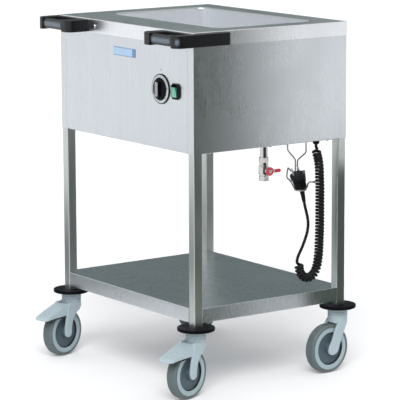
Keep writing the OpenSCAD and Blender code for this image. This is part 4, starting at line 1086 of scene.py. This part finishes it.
def pedal():
    """Hood and painted shade block with the ribs that the toe grips."""
    body = with_bmesh(pedal_hood(), pedal_shoe())
    for u in RIB_PLACES:
        half = PEDAL_HALF - .0035 - max(0, u - .104) * .5
        outline = [(u - .0018, pedal_height(u - .0018) - .002), (u + .0016, pedal_height(u + .0016) - .002),
                   (u + .0013, pedal_height(u) + .0014), (u - .0004, pedal_height(u) + .0017)]
        rib = side_shape(outline, (), -half, half)
        round_edges(rib, .0004, 2)
        with_bmesh(body, rib)
    return body


for name in ("front_left", "front_right"):
    piece = finish_piece(moved(pedal(), castor_place(name)), "brake_hood_" + name, BLUE_GREY,
                         "brake_" + name, ("pedal_" + name,), 30)
    # Slot 1, the dark block and its strips, is painted shade
    piece.data.materials.append(PAINTED_SHADE_DARK)

# %% [markdown]
# ## Bumper discs
# A soft disc over each castor meets walls before the steel does. A squashed cylinder would
# do from afar, but a turned outline also gives the groove round its edge.

# %% Bumper discs over the castors
discs = bmesh.new()
for side in (-1, 1):
    for row in (-1, 1):
        disc = turned([(.0061, .1730), (.0446, .1730), (.0463, .1724), (.0470, .1712), (.0470, .1700),
                       (.0464, .1695), (.0464, .1686), (.0470, .1681), (.0470, .1663), (.0462, .1648),
                       (.0444, .1640), (.0061, .1640)], 96, closed=True)
        moved(disc, under_leg(side, row))
        with_bmesh(discs, disc)
finish_piece(discs, "bumpers", BUMPER, stands_for=("bumper_discs",), sharp_angle=30)

# %% [markdown]
# ## Handles and controls
# The handles are black mouldings that wrap the front corners. One section swept along a
# path would be as thick everywhere. Here their end blocks, web and arm are one plan pulled
# up to its height, so each corner has its own radius, and a thinner grip joins the blocks.

# %% Corner handles
HANDLE_LOW, HANDLE_HIGH, HANDLE_END, HANDLE_OUT = 0.866, 0.897, 0.164, 0.316
HANDLE_FRONT, HANDLE_BACK, HANDLE_CORNER = -0.298, -0.136, 0.020
GRIP_FROM, GRIP_TO, GRIP_BACK, WEB_FRONT, RELIEF = 0.200, 0.289, -0.274, -0.245, 0.0025
GRIP_TUCK, GRIP_ROUND, BLOCK_EDGE = 0.004, 0.009, 0.0030


def handle():
    """Right-hand handle in the cabinet's own frame: blocks, web and arm, then the grip."""
    plan = [(HANDLE_END, HANDLE_FRONT), (GRIP_FROM, HANDLE_FRONT), (GRIP_FROM, WEB_FRONT),
            (GRIP_TO, WEB_FRONT), (GRIP_TO, HANDLE_FRONT), (HANDLE_OUT, HANDLE_FRONT),
            (HANDLE_OUT, HANDLE_BACK), (SKIRT_X, HANDLE_BACK), (SKIRT_X, -SKIRT_Y),
            (HANDLE_END, -SKIRT_Y)]
    radii = [HANDLE_CORNER, .002, .007, .007, .002, HANDLE_CORNER, .006, 0, 0, 0]
    blocks = prism(plan, HANDLE_LOW, HANDLE_HIGH, radii, 10)
    round_edges(blocks, BLOCK_EDGE, 4, 50)
    section = [(HANDLE_FRONT + RELIEF, HANDLE_LOW + RELIEF), (GRIP_BACK, HANDLE_LOW + RELIEF),
               (GRIP_BACK, HANDLE_HIGH - RELIEF), (HANDLE_FRONT + RELIEF, HANDLE_HIGH - RELIEF)]
    grip = prism(section, GRIP_FROM - GRIP_TUCK, GRIP_TO + GRIP_TUCK, [GRIP_ROUND] * 4, 8)
    return with_bmesh(blocks, moved(grip, ACROSS_WAYS))


for side, name in ((-1, "left"), (1, "right")):
    piece = moved(handle(), Matrix.Translation((0, CABINET_Y, 0)) @ mirrored(side))
    finish_piece(piece, "grip_" + name, GRIP, stands_for=("handle_" + name,),
                 sharp_angle=30)

# %% [markdown]
# ## Dial
# The dial is a thin pale ring with a dark rim, turned from one outline whose outermost
# faces get the second finish. Its ticks and numbers are raised by a tenth of a
# millimetre, because printing that lies in the ring's own plane would flicker. Numbers
# are made from a font, turned into a mesh and then placed.

# %% Dial ring
DIAL_TOP, RIM_R = 0.0030, 0.0350
ring = turned([(.0060, 0), (.0375, 0), (.0375, .0021), (.0369, .0027), (.0353, .0027), (.0349, DIAL_TOP),
               (.0060, DIAL_TOP)], 96, closed=True)
for face in ring.faces:
    spot = face.calc_center_median()
    face.material_index = int(math.hypot(spot.x, spot.y) > RIM_R and spot.z > .0005)
dial_plate = finish_piece(moved(ring, on_face(DIAL_X, DIAL_Z)), "dial_plate", DIAL,
                          stands_for=("dial_ring",), sharp_angle=30)
dial_plate.data.materials.append(BLACK)

# %% Ticks, numbers and the index mark
TICK_R, NUMERAL_R, SWEEP, STEPS = 0.0336, 0.0306, 270, 10


def numeral(value, size, height):
    """Raised numeral round the origin, turned into a mesh before it is placed."""
    text = bpy.data.curves.new("numeral", "FONT")
    text.body, text.size, text.extrude = str(value), size, height / 2
    text.align_x, text.align_y = "CENTER", "CENTER"
    carrier = bpy.data.objects.new("numeral", text)
    bm = bmesh.new()
    bm.from_mesh(bpy.data.meshes.new_from_object(carrier))
    bpy.data.objects.remove(carrier)
    return bm


marks = bmesh.new()
for step in range(STEPS + 1):
    angle = Matrix.Rotation(math.radians(SWEEP * (0.5 - step / STEPS)), 4, "Z")
    tick = prism(rectangle(.0008, .0020, (0, TICK_R)), DIAL_TOP - .0003, DIAL_TOP + .00015)
    with_bmesh(marks, moved(tick, angle))
    if step % 2 == 0:
        figure = moved(numeral(step, .0046, .0004), Matrix.Translation((0, NUMERAL_R, DIAL_TOP)))
        with_bmesh(marks, moved(figure, angle))
with_index = with_bmesh(marks, prism([(-.002, .049), (0, .044), (.002, .049)], -.0002, .0002))
finish_piece(moved(with_index, on_face(DIAL_X, DIAL_Z)), "dial_marks", INK)

# %% [markdown]
# ## Knob
# The knob is a low dome with a grip bar across it, joined into one body as in the mould.
# The bar's front face is painted pale grey, a painted highlight for the light it catches.

# %% Knob
foot = turned([(0, .0035), (.0274, .0035), (.0280, .0041), (.0280, .0054), (.0274, .0062), (.0250, .0071),
               (.0200, .0081), (.0140, .0088), (.0070, .0091), (0, .0092)], 96)
BAR_TOP = 0.0155
bar = prism(rectangle(.014, .038), .0040, BAR_TOP, [.0045] * 4, 6)
round_edges(bar, .0020, 3)
knob = combined(foot, bar)
for face in knob.faces:
    # The bar's top faces get the pale finish, a painted highlight
    face.material_index = int(face.calc_center_median().z > BAR_TOP - .0006 and face.normal.z > 0.7)
knob_piece = finish_piece(moved(knob, on_face(DIAL_X, DIAL_Z)), "control_knob", KNOB_BLACK, "knob",
                          ("knob",), 30)
knob_piece.data.materials.append(KNOB_PAINTED_HIGHLIGHT)

# %% [markdown]
# ## Rocker switch
# A bezel with cut corners holds a deep window, in which a green rocker is tipped on its
# pivot. The rocker's outline is bent in its middle, so that one end stands out. Its
# front is painted a paler green and its flanks a darker one, as painted light and shade
# from how each face meets the light.

# %% Rocker switch
BEZEL_CUT, WINDOW, ROCKER_TILT = 0.007, (0.0210, 0.0330), 10
bezel = prism(rectangle(.033, .039), 0, .005, [BEZEL_CUT] * 4, 1)
round_edges(bezel, .0009, 3)
window = prism(rectangle(*WINDOW), -.001, .006)
bezel = combined(bezel, window, "DIFFERENCE")
housing = prism(rectangle(*HOUSING), -.030, -.0002)
well_cut = prism(rectangle(*WINDOW), -.022, .002)
bezel = combined(bezel, combined(housing, well_cut, "DIFFERENCE"))
finish_piece(moved(bezel, on_face(SWITCH_X, DIAL_Z)), "switch_bezel", BLACK,
             stands_for=("switch_housing",), sharp_angle=30)

# %% Rocker
outline = [(-.008, -.009), (.0096, -.0132), (.0086, -.006), (.0080, 0), (.0086, .006), (.0096, .0132),
           (-.008, .009)]
rocker = prism(outline, -.0098, .0098, [0, .0012, 0, 0, 0, .0012, 0], 3)
moved(rocker, AXLE_WAYS.inverted())
round_edges(rocker, .0007, 2)
for face in rocker.faces:
    # Faces that look out get the paler green as painted light; the flanks keep the darker green as painted
    # shade
    face.material_index = int(face.normal.z > .5)
tilt = Matrix.Rotation(math.radians(ROCKER_TILT), 4, "X")
piece = finish_piece(moved(rocker, on_face(SWITCH_X, DIAL_Z) @ tilt), "rocker", ROCKER_PAINTED_SHADE, "rocker",
                     ("switch_rocker",), 25)
piece.data.materials.append(ROCKER_PAINTED_LIGHT)

# %% [markdown]
# ## Drain tap
# The tap is turned brass with a hexagon at each end for the wrench. Where a hexagon meets
# a turned disc, its corners get the curved chamfers of a real nut, which a bevel would not
# give. The lever is a steel strip with a red sleeve pulled over it.

# %% Tap body
OUTLET_Z, TAP_Z, LEVER_X = 0.503, 0.530, 0.0255


def hexagon(radius, low, high):
    """Hexagonal nut with chamfered corners, its flats towards Y."""
    nut = bmesh.new()
    bmesh.ops.create_cone(nut, cap_ends=True, segments=6, radius1=radius, radius2=radius,
                          depth=high - low, matrix=Matrix.Translation((0, 0, (low + high) / 2)))
    disc = turned([(0, low), (radius * .90, low), (radius * 1.001, low + .0012),
                   (radius * 1.001, high - .0012), (radius * .90, high), (0, high)], 48)
    return combined(nut, disc, "INTERSECT")


tap = turned([(.006, 0), (.0095, 0), (.0105, .0010), (.0105, .0115), (.0118, .0130), (.0134, .0170),
              (.0135, .0190), (.0135, .0350), (.0134, .0370), (.0118, .0410), (.0112, .0470),
              (.0112, .0600), (.006, .0600)], 64, closed=True)
for low, high in ((.0005, .0130), (.0472, .0600)):
    with_bmesh(tap, hexagon(.0135, low, high))
boss = turned([(0, .010), (.006, .010), (.006, .0190), (.0052, .0212), (0, .0215)], 32)
with_bmesh(tap, moved(boss, Matrix.Translation((0, 0, TAP_Z - OUTLET_Z)) @ AXLE_WAYS))
tap_place = Matrix.Translation((DRAIN_X, DRAIN_Y, OUTLET_Z))
finish_piece(moved(tap, tap_place), "tap_body", VALVE, stands_for=("valve_body",),
             sharp_angle=30)

# %% Tap lever
LEVER_ROOT, LEVER_TIP, LEVER_HALF = 0.0140, 0.0340, 0.0045
strip = [(0, -LEVER_HALF), (LEVER_TIP, -LEVER_HALF), (LEVER_TIP, LEVER_HALF), (0, LEVER_HALF)]
lever = moved(prism(strip, -.0015, .0015, [0, .0043, .0043, 0]), ACROSS_WAYS)
round_edges(lever, .0009, 3)
bmesh.ops.bisect_plane(lever, geom=lever.verts[:] + lever.edges[:] + lever.faces[:],
                       plane_co=(0, LEVER_ROOT, 0), plane_no=(0, 1, 0))
for face in lever.faces:
    face.material_index = int(face.calc_center_median().y < LEVER_ROOT)
hub = turned([(.0031, -.0025), (.0100, -.0025), (.0110, -.0015), (.0110, .0015), (.0100, .0025),
              (.0031, .0025)], 48, closed=True)
with_bmesh(lever, moved(hub, AXLE_WAYS))
screw = turned([(0, .0015), (.0044, .0015), (.0044, .0032), (.0036, .0040), (0, .0043)], 32)
for face in screw.faces:
    face.material_index = 1
with_bmesh(lever, moved(screw, AXLE_WAYS))
lever_place = Matrix.Translation((DRAIN_X + LEVER_X, DRAIN_Y, TAP_Z))
piece = finish_piece(moved(lever, lever_place), "tap_lever", RED, "valve", ("valve_lever",), 30)
piece.data.materials.append(VALVE)

# %% [markdown]
# ## Plug and its holder
# The plug hangs upside down in a cradle of bent wire, pins up, under the cabinet. The
# cradle is three wires and a ring brazed together. Each wire is a list of bends joined
# by short arcs, because a wire bent by hand is never sharp at its corners.

# %% Wire holder
WIRE_X, WIRE_D, WIRE_BEND, BEND_STEPS = -0.022, 0.004, 0.005, 6
RING_R, RING_STEPS, PLUG_TILT = 0.014, 48, math.radians(22)
PLUG_START, PLUG_MID, PLUG_END_D = (-.045, -.125), 0.012, 0.031
ball_y = PLUG_START[0] - PLUG_MID * math.sin(PLUG_TILT)
ball_z = PLUG_START[1] + PLUG_MID * math.cos(PLUG_TILT)
ring_reach = PLUG_END_D / 2 + WIRE_D / 2 + 0.0003
ring_z = ball_z - math.sqrt(ring_reach ** 2 - RING_R ** 2)
wire_end = (-RING_R * math.cos(math.radians(40)), RING_R * math.sin(math.radians(40)))
LEFT_WIRE = [(WIRE_X, -.074, .0094), (WIRE_X, -.074, -.024), (WIRE_X, -.049, -.050),
             (WIRE_X, -.049, -.082), (WIRE_X, -.061, -.080), (WIRE_X, -.073, -.068),
             (WIRE_X, -.077, -.094), (WIRE_X, -.066, -.102), (wire_end[0], ball_y - wire_end[1], ring_z)]
RIGHT_WIRE = [(WIRE_X, -.015, .0094), (WIRE_X, -.015, -.036), (WIRE_X, -.042, -.052),
              (WIRE_X, -.042, -.084), (WIRE_X, -.030, -.085), (WIRE_X, -.020, -.080),
              (WIRE_X, -.016, -.111), (WIRE_X, -.028, -.121), (wire_end[0], ball_y + wire_end[1], ring_z)]
ARM_WIRE = [(0, ball_y + RING_R - .001, ring_z), (0, -.028, -.122), (0, -.026, -.110), (0, -.017, -.108),
            (0, -.008, -.109)]

# %% Bend the wires and close the ring
def bent_wire(points):
    """Points of a wire whose corners are bent to a radius."""
    points = [Vector(p) + Vector((LEAD_X, GLAND_Y, BASE_Z)) for p in points]
    bent = [points[0]]
    for a, b, c in zip(points, points[1:], points[2:]):
        start = b - (b - a).normalized() * min(WIRE_BEND, (b - a).length / 2.1)
        end = b + (c - b).normalized() * min(WIRE_BEND, (c - b).length / 2.1)
        for step in range(BEND_STEPS + 1):
            t = step / BEND_STEPS
            bent.append((1 - t) ** 2 * start + 2 * t * (1 - t) * b + t * t * end)
    return bent + [points[-1]]


lines = [bent_wire(route) for route in (LEFT_WIRE, RIGHT_WIRE, ARM_WIRE)]
angles = [2 * math.pi * step / RING_STEPS for step in range(RING_STEPS)]
lines.append([(LEAD_X + RING_R * math.cos(angle), GLAND_Y + ball_y + RING_R * math.sin(angle),
               BASE_Z + ring_z) for angle in angles])
holder = round_wire("plug_cradle", lines, WIRE_D)
holder.splines[-1].use_cyclic_u = True
add_piece("plug_cradle", holder, WIRE, "root", ("plug_holder",))
print("cradle of", len(lines) - 1, "wires and a ring")

# %% [markdown]
# ## Plug
# The plug is one turned moulding with a stepped face, and the cable leaves it through a
# sleeve whose ribs let it bend without breaking. The ribs are worked out by a loop, each a
# little wider than the one before it, and the sleeve leans along the cable.

# %% Plug with its strain relief
RELIEF_RIBS, RELIEF_START = 9, (0, -.038, -.155)
below = Matrix.Translation((LEAD_X, GLAND_Y, BASE_Z))
plug_start = Vector((0, *PLUG_START))
plug = turned([(0, -.0035), (.006, -.0030), (.0115, .0010), (.0142, .0055), (.0154, .0110),
               (.0157, .0160), (.0168, .0300), (.0172, .0322), (.0183, .0326), (.0185, .0340),
               (.0185, .0445), (.0175, .0458), (.0150, .0460), (0, .0460)], 64)
moved(plug, below @ Matrix.Translation(plug_start) @ Matrix.Rotation(PLUG_TILT, 4, "X"))
relief_start = Vector(RELIEF_START)
relief = []
length = (plug_start - relief_start).length
for i in range(RELIEF_RIBS):
    low, high, foot = (length * (i + share) / RELIEF_RIBS for share in (0, .62, .95))
    radius = .0047 + .0018 * i / RELIEF_RIBS
    relief += [(radius, low), (radius + .0002, high), (radius - .0012, high + .0003), (radius - .0011, foot)]
sleeve = turned([(0, 0)] + relief + [(.0062, length + .002), (0, length + .002)], 32)
lean = (plug_start - relief_start).to_track_quat("Z", "Y").to_matrix().to_4x4()
with_bmesh(plug, moved(sleeve, below @ Matrix.Translation(relief_start) @ lean))
plug_piece = finish_piece(plug, "plug", LEAD, stands_for=("plug_body",), sharp_angle=35)

# %% [markdown]
# ## Finishes of the remaining solids
# Legs, screws, axles and the pieces inside the cabinet already have the right shape in
# the solid model. They keep it, and only get a finish.

# %% Finish the remaining solids
PLAIN = {"bottom_panel": STEEL, "leg_plugs": BLACK, "thermostat_body": INNER, "badge_plate": BADGE,
         "insulation": BLANKET, "terminal_block": INNER, "drain_pipe": VALVE, "valve_ball": VALVE,
         "cable_gland": BLACK, "holder_tip": BLACK}
for name in ("base_screws", "castor_stems", "swivel_races", "handle_screws", "thermostat_spindle",
             "heater_element", "plug_pins"):
    PLAIN[name] = BRIGHT
for name in CORNERS:
    PLAIN["leg_" + name], PLAIN["axle_" + name] = LEG_STEEL, BRIGHT
for name, finish in PLAIN.items():
    nodes[name].data.materials.clear()
    nodes[name].data.materials.append(finish)
print(len(PLAIN), "solids keep their shape")

# %% [markdown]
# ## Studio
# Metal shows what stands round it, so it is lit like a shop picture: a white room and
# floor, one soft sun from beside the camera, and grey cards that only reflections see.
# Without the cards the steel would mirror an even white and look like paper. Each card
# stands where one face of the trolley looks, worked out from the camera's direction.
# The floor adds a little light of its own towards the camera, so that it reads as white
# and still keeps the trolley's shadow. The room is darker near the ground, where real
# rooms are shaded too; the camera and the mirrors see plain white instead.

# %% Room
ROOM_LOW, ROOM_RISE = 0.18, 0.86
world = bpy.data.worlds.new("studio")
bpy.context.scene.world = world
world.use_nodes = True
room = world.node_tree


def seen_directly(tree):
    """1 for rays from the camera, from metal and from glass, 0 for the others."""
    path = add_node(tree, "ShaderNodeLightPath").outputs
    most = maths(tree, "MAXIMUM", path["Is Camera Ray"], path["Is Glossy Ray"])
    return maths(tree, "MAXIMUM", most, path["Is Transmission Ray"])


room_light = room.nodes["Background"]
room_light.inputs["Color"].default_value = (0.98, 0.99, 1.0, 1)
upwards = maths(room, "MAXIMUM", coordinate(room, "Generated", "Z"), 0.0)
rising = maths(room, "MULTIPLY", upwards, ROOM_RISE)
room.links.new(maths(room, "ADD", rising, ROOM_LOW), room_light.inputs["Strength"])
white = add_node(room, "ShaderNodeBackground", {"Color": (1, 1, 1, 1), "Strength": 1.0})
mixed = add_node(room, "ShaderNodeMixShader",
                 {0: seen_directly(room), 1: room_light.outputs[0], 2: white.outputs[0]})
room.links.new(mixed.outputs[0], room.nodes["World Output"].inputs["Surface"])
print("room from", ROOM_LOW, "at its foot to", ROOM_LOW + ROOM_RISE, "overhead")


# %% Floor
def stage_plane(name, finish, size, matrix):
    """Flat square that is not part of the trolley."""
    bm = bmesh.new()
    stretched = matrix @ Matrix.Diagonal((size[0] / 2, size[1] / 2, 1, 1))
    bmesh.ops.create_grid(bm, x_segments=1, y_segments=1, size=1, matrix=stretched)
    mesh = bpy.data.meshes.new(name)
    bm.to_mesh(mesh)
    bm.free()
    mesh.materials.append(finish)
    plane = bpy.data.objects.new(name, mesh)
    bpy.context.scene.collection.objects.link(plane)
    plane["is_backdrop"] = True
    return plane


FLOOR_SIZE, FLOOR_GLOW, GLOW_LEVEL = 60.0, 0.12, 1.1
floor_finish, tree, place = new_finish("studio_floor", Roughness=0.9)
shade = blend_colours(tree, noise(tree, place, 3.0), (0.93, 0.93, 0.94), (0.96, 0.96, 0.96))
feed(floor_finish, tree, Base_Color=shade)
glow = add_node(tree, "ShaderNodeEmission", {"Color": (1, 1, 1, 1), "Strength": GLOW_LEVEL})
share = maths(tree, "MULTIPLY", seen_directly(tree), FLOOR_GLOW)
mixed = add_node(tree, "ShaderNodeMixShader",
                 {0: share, 1: shader_of(floor_finish).outputs[0], 2: glow.outputs[0]})
tree.links.new(mixed.outputs[0], tree.nodes["Material Output"].inputs["Surface"])
stage_plane("studio_floor", floor_finish, (FLOOR_SIZE, FLOOR_SIZE), Matrix())
print("floor of", FLOOR_SIZE, "by", FLOOR_SIZE, "m")

# %% Cards
# Each card: its middle and heading, its size, the shades at its foot and its head, and the
# two heights between which one shade turns into the other
CARDS = {
    "card_left_rear": ((-1.44, 1.06, 1.10), 54.5, (2.2, 2.2),
                       (0.175, 0.21, 0.21), (0.17, 0.205, 0.205), 0.3, 1.3),
    "card_right": ((1.12, -0.29, 0.85), 90.0, (1.78, 1.70),
                   (0.055, 0.065, 0.05), (0.030, 0.038, 0.028), 0.1, 0.6),
    "card_right_low": ((1.12, 0.95, 0.15), 90.0, (0.74, 0.30),
                       (0.42, 0.45, 0.45), (0.12, 0.14, 0.135), 0.02, 0.06),
    "card_far_leg": ((0.45, 0.68, 0.26), 90.0, (0.84, 0.50),
                     (0.10, 0.12, 0.10), (0.10, 0.12, 0.11), 0.0, 0.5),
    "card_front_low": ((-0.773, -0.752, 0.15), -54.5, (1.3, 0.30),
                       (0.17, 0.185, 0.19), (0.52, 0.54, 0.55), 0.10, 0.30)}
FLOOR_CARD = ((0.86, 0.12, 0.004), (0.50, 0.56), (0.10, 0.12, 0.10))


def card_finish(name, foot, head, low, high):
    """Glowing finish whose shade changes between two heights."""
    finish = bpy.data.materials.new(name)
    finish.use_nodes = True
    tree = finish.node_tree
    tree.nodes.remove(shader_of(finish))
    shade = blend_colours(tree, ranged(tree, coordinate(tree, "Object", "Z"), low, high), foot, head)
    glow = add_node(tree, "ShaderNodeEmission", {"Color": shade, "Strength": 1.0})
    tree.links.new(glow.outputs[0], tree.nodes["Material Output"].inputs["Surface"])
    return finish


def seen_only_in_metal(card):
    """Hide a card from everything except reflections."""
    card.visible_camera = card.visible_diffuse = card.visible_transmission = card.visible_shadow = False


for name, (centre, heading, size, foot, head, low, high) in CARDS.items():
    upright = Matrix.Translation(centre) @ Matrix.Rotation(math.radians(heading), 4, "Z") @ FACE_WAYS
    seen_only_in_metal(stage_plane(name, card_finish(name, foot, head, low, high), size, upright))
centre, size, shade = FLOOR_CARD
floor_card_finish = card_finish("card_floor", shade, shade, 0.0, 1.0)
seen_only_in_metal(stage_plane("card_floor", floor_card_finish, size, Matrix.Translation(centre)))
print(len(CARDS) + 1, "cards that only metal sees")

# %% [markdown]
# ## Sun
# One lamp from beside the camera gives the castors and handles a light and a dark side,
# and the trolley its shadow. A small lamp would draw the shadow's edge sharply, so this
# one fills a wide angle. The Standard view keeps white as white as in the picture.

# %% Soft sun
SUN_FROM, SUN_LEVEL, SUN_ANGLE = Vector((0.60, -0.46, 0.70)), 2.1, 30
sun_data = bpy.data.lights.new("soft_sun", "SUN")
sun_data.energy, sun_data.angle = SUN_LEVEL, math.radians(SUN_ANGLE)
sun = bpy.data.objects.new("soft_sun", sun_data)
sun.matrix_world = SUN_FROM.to_track_quat("Z", "Y").to_matrix().to_4x4()
bpy.context.scene.collection.objects.link(sun)
bpy.context.scene.view_settings.view_transform = "Standard"
print("lit by", sun.name, "and the room")

# %% [markdown]
# ## Sizes
# The finished model's box is printed.

# %% Write the sizes and finish
low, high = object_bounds()
print("visual box", low[:], high[:])
